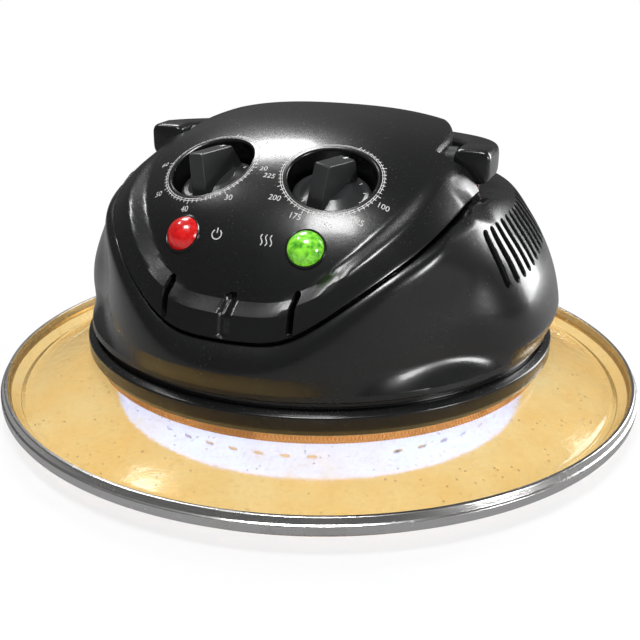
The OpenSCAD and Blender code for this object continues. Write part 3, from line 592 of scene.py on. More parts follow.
def ring_rule():
    """Copies of one piece round the z axis, evenly over an arc, optionally in groups."""
    rule = Rule("ring_of_copies", {
        "Geometry": "Geometry", "Piece": "Object", "Count": "Int", "Radius": "Float",
        "Height": "Float", "Start": "Float", "Step": "Float", "Group": "Int",
        "Group Step": "Float", "Finish": "Material"})
    given, value = rule.given, rule.value
    index = value("GeometryNodeInputIndex")
    group = rule.math("FLOOR", index / given("Group"))
    within = index - group * given("Group")
    angle = given("Start") + within * given("Step") + group * given("Group Step")
    x, y = (given("Radius") * rule.math(kind, angle) for kind in ("COSINE", "SINE"))
    place = value("CombineXYZ", None, {0: x, 1: y, 2: given("Height")})
    turned = value("CombineXYZ", None, {2: angle})
    line = value("GeometryNodeMeshLine", None, {"Count": given("Count"), "Offset": (0, 0, 0)})
    spots = value("GeometryNodeSetPosition", None, {"Geometry": line, "Position": place})
    piece = value("GeometryNodeObjectInfo", None, {"Object": given("Piece")}, "Geometry")
    copies = value("GeometryNodeInstanceOnPoints", None,
                   {"Points": spots, "Instance": piece, "Rotation": turned})
    whole = value("GeometryNodeRealizeInstances", None, {0: copies})
    coated = value("GeometryNodeSetMaterial", None, {"Geometry": whole, "Material": given("Finish")})
    rule.node("NodeGroupOutput", None, {0: coated})
    return rule


RING_RULE = ring_rule()


def ring_of(name, piece, finish, count, radius, height, start, step, group=None, group_step=0.0):
    """Copies of a piece round the z axis, in millimetres and degrees; the piece is used up."""
    made = RING_RULE.grow(name, Piece=piece, Count=count, Radius=radius * MM, Height=height * MM,
                          Start=radians(start), Step=radians(step), Group=group or count,
                          Group_Step=radians(group_step), Finish=finish)
    bpy.data.objects.remove(piece)
    return made


# ---- top cover
def dome_rings(inset, steps, turns, drop, lip=0.0):
    """Rings of the cover's dome, drawn in by inset, from drop under its seam to near its crown."""
    shrink = (COVER_HALF_W - inset) / COVER_HALF_W
    rings = [[] for _ in range(steps)]
    for a in circle(turns):
        edge, d, out_full = edge_z(a), dome_dir(a), band(a)
        reach = hypot(*d)
        start = asin(((edge - drop - COVER_BASE) / COVER_H) ** (SIDE_K / 2))
        for j in range(steps):
            psi = start + (pi / 2 - start) * j / steps
            z = COVER_BASE + (COVER_H - inset) * sin(psi) ** (2 / SIDE_K)
            out = out_full * (1 - ease(BAND_LOW, BAND_HIGH, z - edge))
            s = max(0.0, cos(psi)) ** (2 / SIDE_K) * shrink + out / reach
            rings[j].append(tuple(float(v) for v in tucked(d[0] * s, COVER_MID_Y + d[1] * s, z)))
    if lip:
        under = []
        for x, y, z in rings[0]:
            k = 1 - lip / hypot(x, y - COVER_MID_Y)
            under.append((x * k, COVER_MID_Y + (y - COVER_MID_Y) * k, z))
        rings[0] = [(x, y, z + lip) for x, y, z in rings[0]]
        rings.insert(0, under)
    return rings


def core_outline(half, back, count=72):
    """Right front corner, half an ellipse round the rear, left front corner."""
    out = [(half, POCKET_FRONT_Y + (PIVOT_Y - POCKET_FRONT_Y) * k / 4) for k in range(4)]
    out += [(half * cos(pi * i / count), PIVOT_Y + back * sin(pi * i / count))
            for i in range(count + 1)]
    out += [(-half, PIVOT_Y + (POCKET_FRONT_Y - PIVOT_Y) * k / 4) for k in range(1, 5)]
    return out


def channel_cutter(name, half, back, front_y, floor, lip):
    """What the handle's channel takes away: all outside the core, with a rounded upper edge."""
    profile = [(0.0, -lip), (0.0, -lip), (0.12 * lip, -0.62 * lip), (0.42 * lip, -0.22 * lip),
               (0.85 * lip, 0.06 * lip), (0.85 * lip, 0.06 * lip)]
    count, top, rings = 14, len(profile) - 1, []
    for level, (grow, drop) in enumerate(profile):
        inner = core_outline(half - grow, back - grow)
        edge = front_y - grow
        inner = [(x, edge if i in (0, len(inner) - 1) else y) for i, (x, y) in enumerate(inner)]
        past = FAR - half + grow
        ring = inner + [(-half + grow - past * k / count, edge) for k in range(1, count + 1)]
        ring += [(-FAR, FAR), (FAR, FAR)]
        ring += [(FAR - past * k / count, edge) for k in range(count)]
        if level in (0, top):
            rings.append([(x, y, SKY if level else floor) for x, y in ring])
        else:
            low = floor + 0.1 * level
            rings.append([(x, y, max(dome_z(x, y) + drop, low)) for x, y in ring])
    return loft(name, rings, "flat")


def plate_trim():
    """What is cut off round the channel's floor plate."""
    middle, low, rings = Vector((0, POCKET_FRONT_Y)), DECK_Z - WALL, []
    for p in core_outline(PLATE_HALF, PLATE_BACK):
        q = middle + (Vector(p) - middle).normalized() * FAR
        rings.append([(*p, low), (*q, low), (*q, SKY), (*p, SKY)])
    return loft("plate_trim", rings)


def well_cutter(name, place, radius, depth, lip, turns=96):
    """A round well along a dial's or lamp's axis, its upper edge rounded where it meets the cover."""
    wide = radius + 1.1 * lip
    profile = [(0.86 * radius, -depth, False), (0.95 * radius, -depth + 0.25, False),
               (radius, -depth + 1.2, False), (radius, -lip, True),
               (radius + 0.1 * lip, -0.6 * lip, True), (radius + 0.38 * lip, -0.25 * lip, True),
               (radius + 0.8 * lip, 0.04 * lip, True), (wide, 0.4 * lip, True), (wide, 40, False)]
    rings = []
    for r, z, follows in profile:
        rings.append(put(place, [(u, v, z + (height_over(place, u, v) if follows else 0))
                                 for u, v in (polar(r, a) for a in circle(turns))]))
    return loft(name, rings)


def nose_y(x, z):
    """Where the nose's surface lies over x at height z."""
    face = (dome_level(z) ** PLAN_P - (abs(x) / COVER_HALF_W) ** PLAN_P) ** (1 / PLAN_P)
    out = BAND_OUT * (1 - ease(BAND_LOW, BAND_HIGH, z - seam_front(x)))
    return COVER_MID_Y - COVER_FRONT * face - out


def slot_outline(half_w, low, high, sides):
    """A tall slot with round ends, as (across, up)."""
    half_turn = [pi * i / 6 for i in range(7)]
    out = [(half_w * cos(a), high + half_w * sin(a)) for a in half_turn]
    out += [(-half_w, high + (low - high) * k / sides) for k in range(1, sides)]
    out += [(-half_w * cos(a), low - half_w * sin(a)) for a in half_turn]
    out += [(half_w, low + (high - low) * k / sides) for k in range(1, sides)]
    return out


def nose_slot(i):
    """The cutter of one slot in the nose, rounded where it meets the surface."""
    middle = i * DIAL_X
    low = seam_front(middle) + 2.5
    outline = slot_outline(NOSE_SLOT_W / 2, low, low + NOSE_SLOT_H, 10)
    profile = ((8, 0.85), (0.9, 0.85), (0.35, 0.9), (0.0, 1.05), (-0.6, 1.2), (-9, 1.2))
    rings = [[(middle + u * grow, nose_y(middle + u * grow, z) + depth, z) for u, z in outline]
             for depth, grow in profile]
    return loft("nose_slot", rings, "flat")


def tube(name, place, radius, low, high, turns=48):
    """A round bar along the z axis of place."""
    rings = [put(place, [(*polar(radius, a), z) for a in circle(turns)]) for z in (low, high)]
    return loft(name, rings, "flat")


def top_cover():
    shell = loft("top_cover_shell", dome_rings(0, 72, 300, 0, lip=0.7))
    inner = loft("inner", dome_rings(WALL, 24, 120, 3))
    dials, lamps = ([place(s) for s in (-1, 1)] for place in (dial_place, lamp_place))
    walls = [tube("well_wall", at, WELL_R + WALL, -WELL_DEPTH - WALL, 40) for at in dials]
    channel_wall = channel_cutter("inner_channel", POCKET_X - WALL, CORE_BACK - WALL,
                                  POCKET_FRONT_Y - WALL, POCKET_FLOOR_Z - WALL, 0.3)
    combine(inner, [channel_wall], "DIFFERENCE")
    combine(inner, walls, "DIFFERENCE")
    channel = channel_cutter("channel", POCKET_X, CORE_BACK, POCKET_FRONT_Y, POCKET_FLOOR_Z, 2.2)
    cutters = [inner, channel, plate_trim()]
    cutters += [well_cutter("well", at, WELL_R, WELL_DEPTH, 1.3) for at in dials]
    cutters += [tube("shaft_hole", at, 5, -40, -10, 32) for at in dials]
    cutters += [well_cutter("lamp_seat", at, LAMP_R - 1, 12, 0.4, 48) for at in lamps]
    cutters += [nose_slot(i) for i in (-1, 0, 1)]
    combine(shell, cutters, "DIFFERENCE")
    dress(shell, ["top_cover"], "black_satin")


# ---- housing
def body_r(x, y):
    """Radius of the body's wall in the direction of x and y."""
    reach = np.where(y < 0, BODY_FRONT, BODY_REAR)
    level = (np.abs(x) / BODY_HALF_W) ** PLAN_P + (np.abs(y) / reach) ** PLAN_P
    return np.hypot(x, y) * level ** (-1 / PLAN_P)


def ledge_z(x, y):
    """Height of the housing's top: under the cover it follows the seam, outside it falls away."""
    inside = np.minimum(np.abs(x), CORNER_X)
    front, slope = seam_front(inside), ease(*REAR_FADE, y)
    top = seam_z(inside, y) - SEAT
    outer = front + (DECK_Z + SEAT - front) * slope - SEAT
    behind = np.hypot(x / PLATE_HALF, (y - PIVOT_Y) / PLATE_BACK) - 1
    past_plate = np.where(y > PIVOT_Y, PLATE_HALF * behind, np.abs(x) - PLATE_HALF)
    top = top + (outer - top) * ease(0.5, 4, past_plate)
    edge = BAND_OUT * (1 - ease(*BAND_FADE, y)) - 1 - TUCK * ease(*TUCK_FADE, y)
    out = np.hypot(x, y - COVER_MID_Y) * (1 - dome_level(top) / dome_s(x, y)) - edge
    return top - FALL * np.maximum(0, out) * (1 - slope)


def soft_min(a, b, k):
    """The lesser of two distances, blended over about k."""
    return -k * np.logaddexp(-a / k, -b / k)


def past_pod(x, y, z):
    """How far points lie outside the side pods."""
    reach = POD_REACH * (1 - np.clip((z - POD_BASE_Z) / POD_H, 0, 1) ** POD_E) ** (1 / POD_E)
    bow = np.sqrt(1 - np.minimum(0.9, ((y - POD_MID_Y) / POD_BOW_R) ** 2))
    deep = np.maximum(1, reach * bow - POD_IN_X)
    front = POD_LEN * (0.6 - 0.08 * ease(75, 42, z) - 0.06 * ease(95, 112, z))
    half = np.where(y < POD_MID_Y, front, POD_LEN / 2)
    across = np.maximum(0, np.abs(x) - POD_IN_X) / deep
    return ((across ** POD_Q + (np.abs(y - POD_MID_Y) / half) ** POD_Q) ** (1 / POD_Q) - 1) * deep


def past_housing(x, y, z):
    """How far points lie outside the housing: skirt, body and pods blended, under the ledge."""
    skirt = (1 - np.clip((z - SKIRT_Z - 2.5) / 10, 0, 1)) ** 1.5
    r = np.hypot(x, y)
    sides = soft_min(r - body_r(x, y), past_pod(x, y, z), POD_BLEND + 5 * ease(90, 50, z))
    side = skirt * (r - SKIRT_R) + (1 - skirt) * sides
    return -soft_min(-side, ledge_z(x, y) - z, 1.6 + 2.0 * ease(-50, -90, y) + 2.6 * ease(-40, 50, y))


def halved(outside, low, high):
    """Where outside(t) changes from inside to outside, for arrays of t."""
    for _ in range(24):  # enough for 0.01 mm
        mid = (low + high) / 2
        out = outside(mid)
        low, high = np.where(out, low, mid), np.where(out, mid, high)
    return low


def wall_x(y, z):
    """Reach of the housing's side at y and height z."""
    y, z = np.asarray(y, float), np.asarray(z, float)
    inside, outside = np.full_like(y, 82.0), np.full_like(y, 130.0)
    return halved(lambda t: past_housing(t, y, z) > 0, inside, outside)


def shell_rings(inset, turns, foot_rings, walls, tilts, tops):
    """Rings of the housing's outside, drawn in by inset, from above its foot to its top."""
    a = np.arange(turns) * 2 * pi / turns
    c, s = np.cos(a), np.sin(a)
    core = body_r(c, s) - CORE_IN
    rim_z = ledge_z(core * c, core * s)
    edge = 6 + 8 * ease(-40, 50, 100 * s)

    def leaves(r, z, tilt=0.0):
        """Where rays from radius r at height z, tilted upwards, leave the form."""
        def at(t):
            return (r + t * cos(tilt)) * c, (r + t * cos(tilt)) * s, z + t * sin(tilt)
        return at(halved(lambda t: past_housing(*at(t)) > -inset, 0 * r, 0 * r + 40))

    high, low = rim_z - edge - inset, SKIRT_Z + foot_rings[-1]
    made = [leaves(core, SKIRT_Z + rise + 0 * a) for rise in foot_rings]
    made += [leaves(core, low + (high - low) * k / walls) for k in range(1, walls + 1)]
    reach = np.hypot(*made[-1][:2])
    made += [leaves(reach - edge, high, pi / 2 * k / tilts) for k in range(1, tilts + 1)]
    x, y, _ = made[-1]
    made += [(x * k, y * k, ledge_z(x * k, y * k) - inset) for k in tops]
    return [list(zip(*(part.tolist() for part in ring))) for ring in made]


def vents(side):
    """The cutters of one pod's vent slots: each follows the wall and has rounded edges there."""
    profile = ((0.0, -10.0), (0.0, -0.9), (0.12, -0.45), (0.4, -0.1), (0.9, 0.25), (0.9, 6.0))
    rows, last = len(profile), VENT_COUNT - 1
    points, faces = [], []
    for i in range(VENT_COUNT):
        middle = POD_MID_Y - 4 + (i - last / 2) * VENT_PITCH
        low, high = 84 + 7 * i / last + VENT_W / 2, DECK_Z - 2.2 - VENT_W / 2
        base = len(points)
        for grow, depth in profile:
            outline = slot_outline(VENT_W / 2 + grow, low, high, 14)
            y, z = (np.array(part) for part in zip(*outline))
            x = wall_x(y + middle, np.minimum(z, DECK_Z - 3)) + depth * 0.75
            points += [(side * p, q + middle, r + depth * 0.6) for p, q, r in zip(x, y, z)]
        n = len(outline)
        faces += side_faces(n, rows, base)
        faces += [tuple(reversed(f)) for f in cap_strip(n, base)]
        faces += cap_strip(n, base + (rows - 1) * n)
    return solid("vent_slots", points, faces)


def cap_strip(n, start):
    """Closes a tall outline with a ladder of faces from side to side."""
    out = []
    low, high = 0, n - 1
    while high - low > 2:
        out.append((start + low, start + low + 1, start + high - 1, start + high))
        low, high = low + 1, high - 1
    if high - low == 2:
        out.append((start + low, start + low + 1, start + high))
    return out


def opening():
    """The hole in the housing's top, under the cover."""
    outline, widest = [], 66
    for i in range(48):
        x, y = dome_dir(radians(7.5 * i))
        outline.append((max(-widest, min(widest, x * 0.85)), COVER_MID_Y + y * (0.85 if y < 0 else 0.7)))
    low = SEAM_NOSE_Z - 2 * WALL
    return loft("opening", [[(x, y, z) for x, y in outline] for z in (low, FAR)], "flat")


def housing():
    tops = [0.96, 0.92, 0.88, 0.84, 0.8, 0.75, 0.7]
    rings = shell_rings(0, 300, [0.6, 3, 3.5, 4.2, 5, 6, 7.5, 9.5, 12], 30, 18, tops)
    drawn_in = 1 - 0.6 / SKIRT_R
    lip = [(x * drawn_in, y * drawn_in, SKIRT_Z) for x, y, _ in rings[0]]
    shell = loft("housing_shell", [lip] + rings)
    inner = shell_rings(WALL, 300, [3, 5, 7.5, 12], 12, 5, tops)
    low = [(x, y, SKIRT_Z - 5) for x, y, _ in inner[0]]
    inlet = Matrix.Translation((0, BODY_REAR, 74)) @ turn("X", 90)
    cutters = [loft("inner_shell", [low] + inner), vents(-1), vents(1), opening(),
               tube("inlet_hole", inlet, 8, -10, 10)]
    combine(shell, cutters, "DIFFERENCE")
    dress(shell, ["housing"], "black_gloss")


# ---- handle
def handle():
    """The bail: its two arms and its rear bar follow half an ellipse between rounded tips."""
    turns = 120

    def ring(at, across, z, a, b):
        out = []
        for i in range(48):
            q = 2 * pi * (i + 0.5) / 48
            u, v = a * spow(cos(q), 0.45), b * spow(sin(q), 0.45)
            out.append((at[0] + across[0] * u, at[1] + across[1] * u, z + v))
        return out

    def tip(side, ahead, size):
        return ring((side * ARM_X, PIVOT_Y - ahead), (side, 0), PIVOT_Z,
                    size * ARM_W / 2, size * ARM_H / 2)

    front = [(ARM_FRONT - back, size) for back, size in
             ((0, 0.80), (0.35, 0.88), (1.0, 0.94), (2.0, 0.98), (3.5, 1.0), (7, 1.0))]
    rings = [tip(1, *f) for f in front]
    for i in range(turns + 1):
        t = pi * i / turns
        c, s = cos(t), sin(t)
        rings.append(ring((ARM_X * c, PIVOT_Y + BAR_BACK * s),
                          Vector((BAR_BACK * c, ARM_X * s)).normalized(),
                          PIVOT_Z - BAR_DROP * s, (ARM_W - 4 * s) / 2, (ARM_H - 3.5 * s) / 2))
    rings += [tip(-1, *f) for f in reversed(front)]
    bail = loft("handle_bail_shell", rings)
    dress(bail, ["handle"], "knob_black", HANDLE_BLACK, "handle_bail")


# ---- knobs, lamps and print
def knob(side, name, body, node):
    """A dial's knob: a dished skirt with tick marks, and a tall grip with a pointer on it."""
    place = dial_place(side) @ turn("Z", -OFF_TURN)
    low = -WELL_DEPTH + 0.8
    rise, half = low + 2.9, GRIP_W / 2
    profile = rounded([(3.2, low, 0), (KNOB_R - 0.2, low, 0.5), (KNOB_R, low + 5.4, 0.8),
                       (KNOB_R - 1.4, low + 6.4, 0.6), (0.8 * KNOB_R, low + 6.0, 1.2),
                       (0.5 * KNOB_R, low + 8.4, 2.0), (3.2, low + 9.0, 0.4)])
    cap = lathe(name, profile, 128, place)
    side_view = rounded([(-KNOB_R + 1, rise, 0), (KNOB_R - 1, rise, 0),
                         (GRIP_FRONT, rise + 0.64 * GRIP_H, 2.5), (GRIP_REAR, rise + GRIP_H, 1.6)], 4)
    rings = []
    for x, inset in ((-half, 0.9), (-half + 0.25, 0.35), (-half + 0.9, 0.0), (half - 0.9, 0.0),
                     (half - 0.25, 0.35), (half, 0.9)):
        shares = [(y, z, (z - rise) / GRIP_H) for y, z in side_view]
        rings.append(put(place, [(x * (1 - 0.1 * share), y * (1 - inset / KNOB_R), z - inset * share)
                                 for y, z, share in shares]))
    combine(cap, [loft("grip", rings, "flat")], "UNION")
    dress(cap, [node], "knob_black", body=body)
    pointer = [strip((0, 0.52 * KNOB_R), (0, 0.70 * KNOB_R), 1.3)]
    dress(print_shape(f"{name}_pointer", pointer, place, grip_top(rise)), finish=PRINT, body=body)
    dress(skirt_ticks(f"{name}_skirt_marks", place, low), finish=PRINT, body=body)


def grip_top(rise):
    """Height of the grip's sloping top at (u, v)."""
    y0, z0 = GRIP_REAR, rise + GRIP_H
    y1, z1 = GRIP_FRONT, rise + 0.64 * GRIP_H

    def height(_, v):
        return z0 + (z1 - z0) * (v - y0) / (y1 - y0)
    return height


def skirt_ticks(name, place, low):
    """Nine tick marks on a knob's skirt."""
    outline = ((-0.9, -0.3), (0.9, -0.3), (0.9, 0.3), (-0.9, 0.3))
    template = loft("tick", [[(x, y, z) for x, y in outline] for z in (-0.3, 0.12)], "flat")
    marks = ring_of(name, template, PRINT, 9, KNOB_R - 3.0, low + 6.1, -120, 30)
    marks.data.transform(Matrix.Translation(place.translation * MM) @ place.to_3x3().to_4x4())
    return marks


def strip(a, b, width):
    """A short straight bar as a flat outline."""
    a, b = Vector(a), Vector(b)
    side = (b - a).normalized()
    side = Vector((-side.y, side.x)) * width / 2
    return [tuple(a + side), tuple(a - side), tuple(b - side), tuple(b + side)]


def arc_strips(radius, width, start, end, count):
    """A thin arc as short flat quads."""
    out, half = [], width / 2
    for i in range(count):
        a, b = (radians(start + (end - start) * (i + k) / count) for k in (0, 1))
        out.append([polar(radius + w, t) for t, w in ((a, -half), (a, half), (b, half), (b, -half))])
    return out


def print_shape(name, outlines, place, height, lift=0.05, thick=0.08):
    """Ink laid on a surface: outlines in the plane of place, raised by height(u, v)."""
    points, faces = [], []
    for outline in outlines:
        n, base = len(outline), len(points)
        for z in (lift - thick, lift):
            points += put(place, [(u, v, height(u, v) + z) for u, v in outline])
        faces.append(tuple(range(base + n - 1, base - 1, -1)))
        faces.append(tuple(range(base + n, base + 2 * n)))
        faces += side_faces(n, 2, base)
    return solid(name, points, faces)


def numeral(text, size):
    """Triangles of a printed number, centred on the origin, in millimetres."""
    data = bpy.data.curves.new("numeral", "FONT")
    data.body, data.size, data.align_x, data.align_y = text, size, "CENTER", "CENTER"
    data.resolution_u = 3
    holder = placed("numeral", data)
    mesh = final_mesh(holder)
    bpy.data.objects.remove(holder)
    return [[tuple(mesh.vertices[i].co[:2]) for i in face.vertices] for face in mesh.polygons]


def shifted(outlines, u, v):
    return [[(u + x, v + y) for x, y in outline] for outline in outlines]


def cover_print(name, shapes, place):
    """Ink on the cover, laid down along the axis of place."""
    ink = print_shape(name, shapes, place, lambda u, v: height_over(place, u, v))
    dress(ink, finish=PRINT)


def dial_print(side, name, labels):
    """A dial's two rings, its ticks over 270 degrees, and its numbers (text, degrees from off)."""
    shapes = [quad for radius in (SCALE_RING_1, SCALE_RING_2)
              for quad in arc_strips(radius, LINE_W, 0, 360, 96)]
    off = 90 - OFF_TURN
    for k in range(SCALE_TICKS + 1):
        a = radians(off - 270 * k / SCALE_TICKS)
        shapes.append(strip(polar(22.3, a), polar(25.0 if k % 8 == 0 else 24.2, a), 0.34))
    for text, at in labels:
        a = radians(off - at)
        shapes += shifted(numeral(text, 3.9), 28.4 * cos(a), 27.4 * sin(a))
    cover_print(name, shapes, dial_place(side))


def lamp(side, name, node, slot):
    """A lamp's domed lens, and the collar round it."""
    place, rise, steps = lamp_place(side), 5.0, 16
    sphere_r = (LAMP_R ** 2 + rise ** 2) / (2 * rise)
    span = asin(LAMP_R / sphere_r)
    outline = [(0.01, -6), (LAMP_R - 1.2, -6), (LAMP_R - 1.2, 0.3), (LAMP_R - 0.1, 0.3), (LAMP_R, 0.5)]
    for i in range(1, steps + 1):
        a = span * (1 - i / steps)
        up = 0.5 + rise - sphere_r * (1 - cos(a))
        outline.append((max(0.01, sphere_r * sin(a)), up))
    dress(lathe(name, outline, 96, place), [node], slot)
    collar = rounded([(LAMP_R + 0.15, -0.4, 0), (LAMP_R + 1.1, -0.4, 0), (LAMP_R + 0.9, 0.35, 0.3),
                      (LAMP_R + 0.15, 0.8, 0.3)], 3)
    dress(lathe(f"{name}_collar", collar, 96, place), finish=BY_SLOT["black_satin"])


# ---- ring, lid and guard
def base_ring():
    top, foot, inner, ledge = RING_Z + RING_H, HOLE_R + 4, NECK_R - 3, SKIRT_Z + 1
    profile = rounded([
        (foot, RING_Z, 0.3), (RING_R - 1.6, RING_Z, 1.2), (RING_R, RING_Z + 3.0, 1.5),
        (RING_R, top - 1.6, 1.2), (RING_R - 3.4, top, 1.6), (NECK_R, top, 0.5), (NECK_R, ledge, 0.3),
        (inner, ledge, 0.3), (inner, RING_Z + 3, 0.3), (foot, RING_Z + 3, 0.3)])
    dress(lathe("base_ring_moulding", profile, 320), ["base_ring"], "black_ring")


def lid():
    """The glass disc: a spherical middle, a channel round it and a raised edge under the rim."""
    top, channel, edge = RIM_TOP_Z - RIM_T, STEP_Z - 1.4, LID_R - RIM_T
    inner = [HOLE_R + (STEP_R - HOLE_R) * k / 24 for k in range(25)]
    step = rounded([
        (STEP_R, glass_top(STEP_R), 0), (LID_R - 12, channel, 0.9), (LID_R - 9.5, channel, 1.2),
        (LID_R - 3.2, top, 0.6), (edge, top - 3.6, 0.5), (edge, top - GLASS_T, 0.4),
        (LID_R - 7.5, channel - GLASS_T, 1.4), (STEP_R, channel - GLASS_T, 0)])
    outline = [(r, glass_top(r)) for r in inner] + step[1:-1]
    outline += [(r, glass_top(r) - GLASS_T) for r in reversed(inner[:-1])]
    dress(lathe("glass_lid_disc", outline, 320), ["glass_lid"], "lid_glass", angle=50)


def rim():
    top, low = RIM_TOP_Z, RIM_TOP_Z - RIM_H
    profile = rounded([
        (LID_R - 3.6, top, 0.25), (LID_R - 2.0, top, 0.8), (LID_R - 0.9, top - 2.8, 0.5),
        (LID_R, top - 3.4, 0.5), (LID_R, low, 1.1), (LID_R - 2.6, low, 0.25),
        (LID_R - 2.6, low + RIM_T, 0.25), (LID_R - RIM_T, low + RIM_T, 0.4),
        (LID_R - 2.0 - RIM_T, top - RIM_T, 0.4), (LID_R - 3.6, top - RIM_T, 0.25)], 4)
    dress(lathe("lid_rim_band", profile, 320), ["lid_rim"], "rim_steel")


def guard():
    """The heater guard's wall with its six groups of seven small slots."""
    top, back, thin = GUARD_TOP_Z, GUARD_R - GUARD_LIP, GUARD_R - SHEET
    lip_z = glass_top(back) - GLASS_T - SEAT - SHEET
    profile = rounded([
        (back, 0, 0.2), (GUARD_R, 0, 1.2), (GUARD_R, top, 0.9), (back, lip_z, 0.2),
        (back, lip_z - SHEET, 0.2), (thin, top - SHEET, 0.4), (thin, SHEET, 0.6), (back, SHEET, 0.2)])
    wall = lathe("heater_guard_wall", profile, 320)
    outline = slot_outline(1.1, -1.5, 1.5, 2)
    template = loft("guard_slot", [[(x, z, y) for y, z in outline] for x in (-3.0, 3.0)], "flat")
    step, finish = 6.5, BY_SLOT["guard_white"]
    slots = ring_of("slots", template, finish, 42, GUARD_R, 0.55 * top, -90 - 3 * step, step, 7, 60)
    combine(wall, [slots], "DIFFERENCE")
    dress(wall, ["heater_guard"], "guard_white")


def gasket():
    """The braided seal under the base ring: slanting strands in two layers round a flat core."""
    outer, inner, count = HOLE_R + 15, HOLE_R + 3, 420
    outline = [(outer - 0.6, RING_Z), (inner, RING_Z)]
    across = outer - 0.6 - HOLE_R - 3
    outline += [(inner + across * k / 6, glass_top(inner + across * k / 6)) for k in range(7)]
    dress(lathe("gasket_core", outline, 240), ["gasket"], "gasket")
    tall, braid = RING_Z - glass_top(outer), BY_SLOT["gasket"]
    for name, lean in (("gasket_braid_left", -1), ("gasket_braid_right", 1)):
        rings = []
        for j in range(7):
            t = j / 6 - 0.5
            bulge = 0.75 * (1 - (2 * t) ** 4) ** 0.5 + 0.12
            rings.append([(bulge * cos(q) * 0.6, lean * t * 2.2 + 0.55 * bulge * sin(q),
                           t * (tall - 0.3)) for q in circle(6)])
        template = loft("strand", rings, "flat")
        strands = ring_of(name, template, braid, count, outer - 0.35, RING_Z - tall / 2, 0, 360 / count)
        dress(strands, finish=braid)


# ---- build
POWER_SIGN = arc_strips(2.3, 0.5, 125, 415, 22) + [strip((0, 0.6), (0, 3.1), 0.5)]


def heat_sign():
    """Three rising waves."""
    out = []
    for k in (-1, 0, 1):
        points = [(k * 2.2 + 0.55 * sin(i * pi / 5), -2.6 + 0.52 * i) for i in range(11)]
        out += [strip(a, b, 0.5) for a, b in zip(points, points[1:])]
    return out


top_cover()
housing()
handle()
knob(-1, "timer_knob_cap", "timer_dial", "timer_knob")
knob(1, "thermostat_knob_cap", "thermostat_dial", "thermostat_knob")
lamp(-1, "power_lamp_lens", "power_lamp", "lens_red")
lamp(1, "heat_lamp_lens", "heat_lamp", "lens_green")
dial_print(-1, "timer_scale", [(str(m), 4.5 * m) for m in range(10, 61, 10)])
dial_print(1, "thermostat_scale", [(str(100 + 25 * k), 97 + 28.8 * k) for k in range(7)])
cover_print("power_sign", shifted(POWER_SIGN, 17.5, 1), lamp_place(-1))
cover_print("heat_sign", shifted(heat_sign(), -18, 1), lamp_place(1))
base_ring()
lid()
rim()
guard()
gasket()

# The solids that stay visible get the finish of their slot.
for entry in frame["record"]["subparts"]:
    mesh = NODES[entry["node"]].data
    mesh.materials.clear()
    mesh.materials.append(BY_SLOT[entry["material_slot"]])


# ---- studio
def studio_floor():
    """White to the camera and through the glass, duller in what the plastic mirrors."""
    white = bpy.data.materials.new("studio_floor")
    white.use_nodes = True
    graph = Graph(white.node_tree)
    graph.tree.nodes.clear()
    rays = graph.node("LightPath").outputs
    seen, mirrored, through_glass = (Value(graph, rays[f"Is {kind} Ray"])
                                     for kind in ("Camera", "Glossy", "Transmission"))
    place = graph.value("TexCoord", output="Object")
    far = graph.value("VectorMath", {"operation": "LENGTH"}, {0: place}, "Value")
    pale = graph.step(far, 0.2, 0.55, To_Min=0.8, To_Max=1.0)
    share = graph.math("MAXIMUM", seen * pale, through_glass)
    tint = graph.mix(mirrored, grey(0.9), grey(0.3))
    floor = graph.value("BsdfDiffuse", None, {"Color": tint})
    shine = graph.value("Emission", None, {"Strength": 1.0})
    both = graph.value("MixShader", None, {0: share, 1: floor, 2: shine})
    graph.node("OutputMaterial", None, {"Surface": both})
    return white


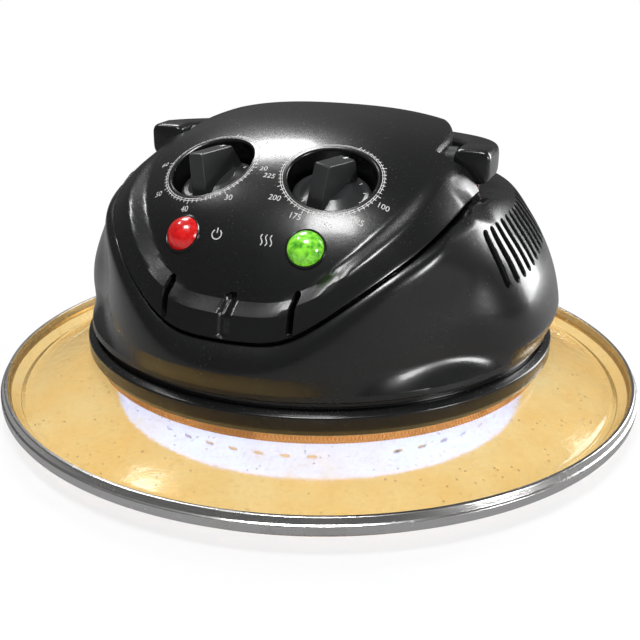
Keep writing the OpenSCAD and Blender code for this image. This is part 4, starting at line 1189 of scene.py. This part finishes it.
def studio():
    mesh = bpy.data.meshes.new("studio_floor")
    r = 20.0
    mesh.from_pydata([(-r, -r, 0), (r, -r, 0), (r, r, 0), (-r, r, 0)], [], [(0, 1, 2, 3)])
    mesh.materials.append(studio_floor())
    ground = placed("studio_floor", mesh)
    ground.location.z = -0.0002

    world = bpy.data.worlds.new("studio")
    bpy.context.scene.world = world
    world.use_nodes = True
    graph = Graph(world.node_tree)
    dim = graph.tree.nodes["Background"]
    graph.feed(dim, {"Color": (1, 1, 1, 1), "Strength": 0.1})
    bright = graph.value("Background", None, {"Color": (1, 1, 1, 1), "Strength": 1.0})
    seen = graph.value("LightPath", output="Is Camera Ray")
    shaders = {0: seen, 1: Value(graph, dim.outputs[0]), 2: bright}
    mixed = graph.value("MixShader", None, shaders)
    graph.feed(graph.tree.nodes["World Output"], {0: mixed})


def lamp_box(name, at, size, power):
    """A rectangular studio lamp that faces the oven."""
    data = bpy.data.lights.new(name, "AREA")
    data.shape = "RECTANGLE"
    data.size, data.size_y = size
    data.energy = power
    holder = placed(name, data)
    holder.location = at
    away = Vector((0, 0, 0.1)) - Vector(at)
    holder.rotation_euler = away.to_track_quat("-Z", "Y").to_euler()


def camera():
    """The camera that was fitted to the photo."""
    sensor, pixels, focal_pixels, distance = 36, 640, 991.1, 0.55
    azimuth, elevation, roll = radians(21.1), radians(23.1), 0.5
    data = bpy.data.cameras.new("camera")
    data.sensor_width = sensor
    data.lens = sensor * focal_pixels / pixels
    data.shift_x, data.shift_y = 0.4 / pixels, 32.2 / pixels
    data.clip_start = 0.01
    holder = placed("camera", data)
    back = Vector((sin(azimuth) * cos(elevation), -cos(azimuth) * cos(elevation),
                   sin(elevation)))
    holder.location = Vector((0, 0, 0.018)) + distance * back
    facing = back.to_track_quat("Z", "Y").to_matrix().to_4x4()
    holder.rotation_euler = (facing @ turn("Z", roll)).to_euler()
    bpy.context.scene.camera = holder


studio()
for place_of_lamp in (("overhead", (0.1, -0.38, 1.0), (0.34, 0.24), 7),
                      ("rear_left", (-0.5, 0.65, 1.0), (0.38, 0.34), 6),
                      ("left", (-0.68, 0.03, 1.0), (0.25, 0.12), 2),
                      ("right", (0.95, -0.22, 0.3), (0.2, 0.2), 3),
                      ("rear_right", (0.72, 0.82, 0.36), (0.42, 0.7), 8)):
    lamp_box(*place_of_lamp)
camera()
bpy.context.scene.view_settings.view_transform = "Standard"
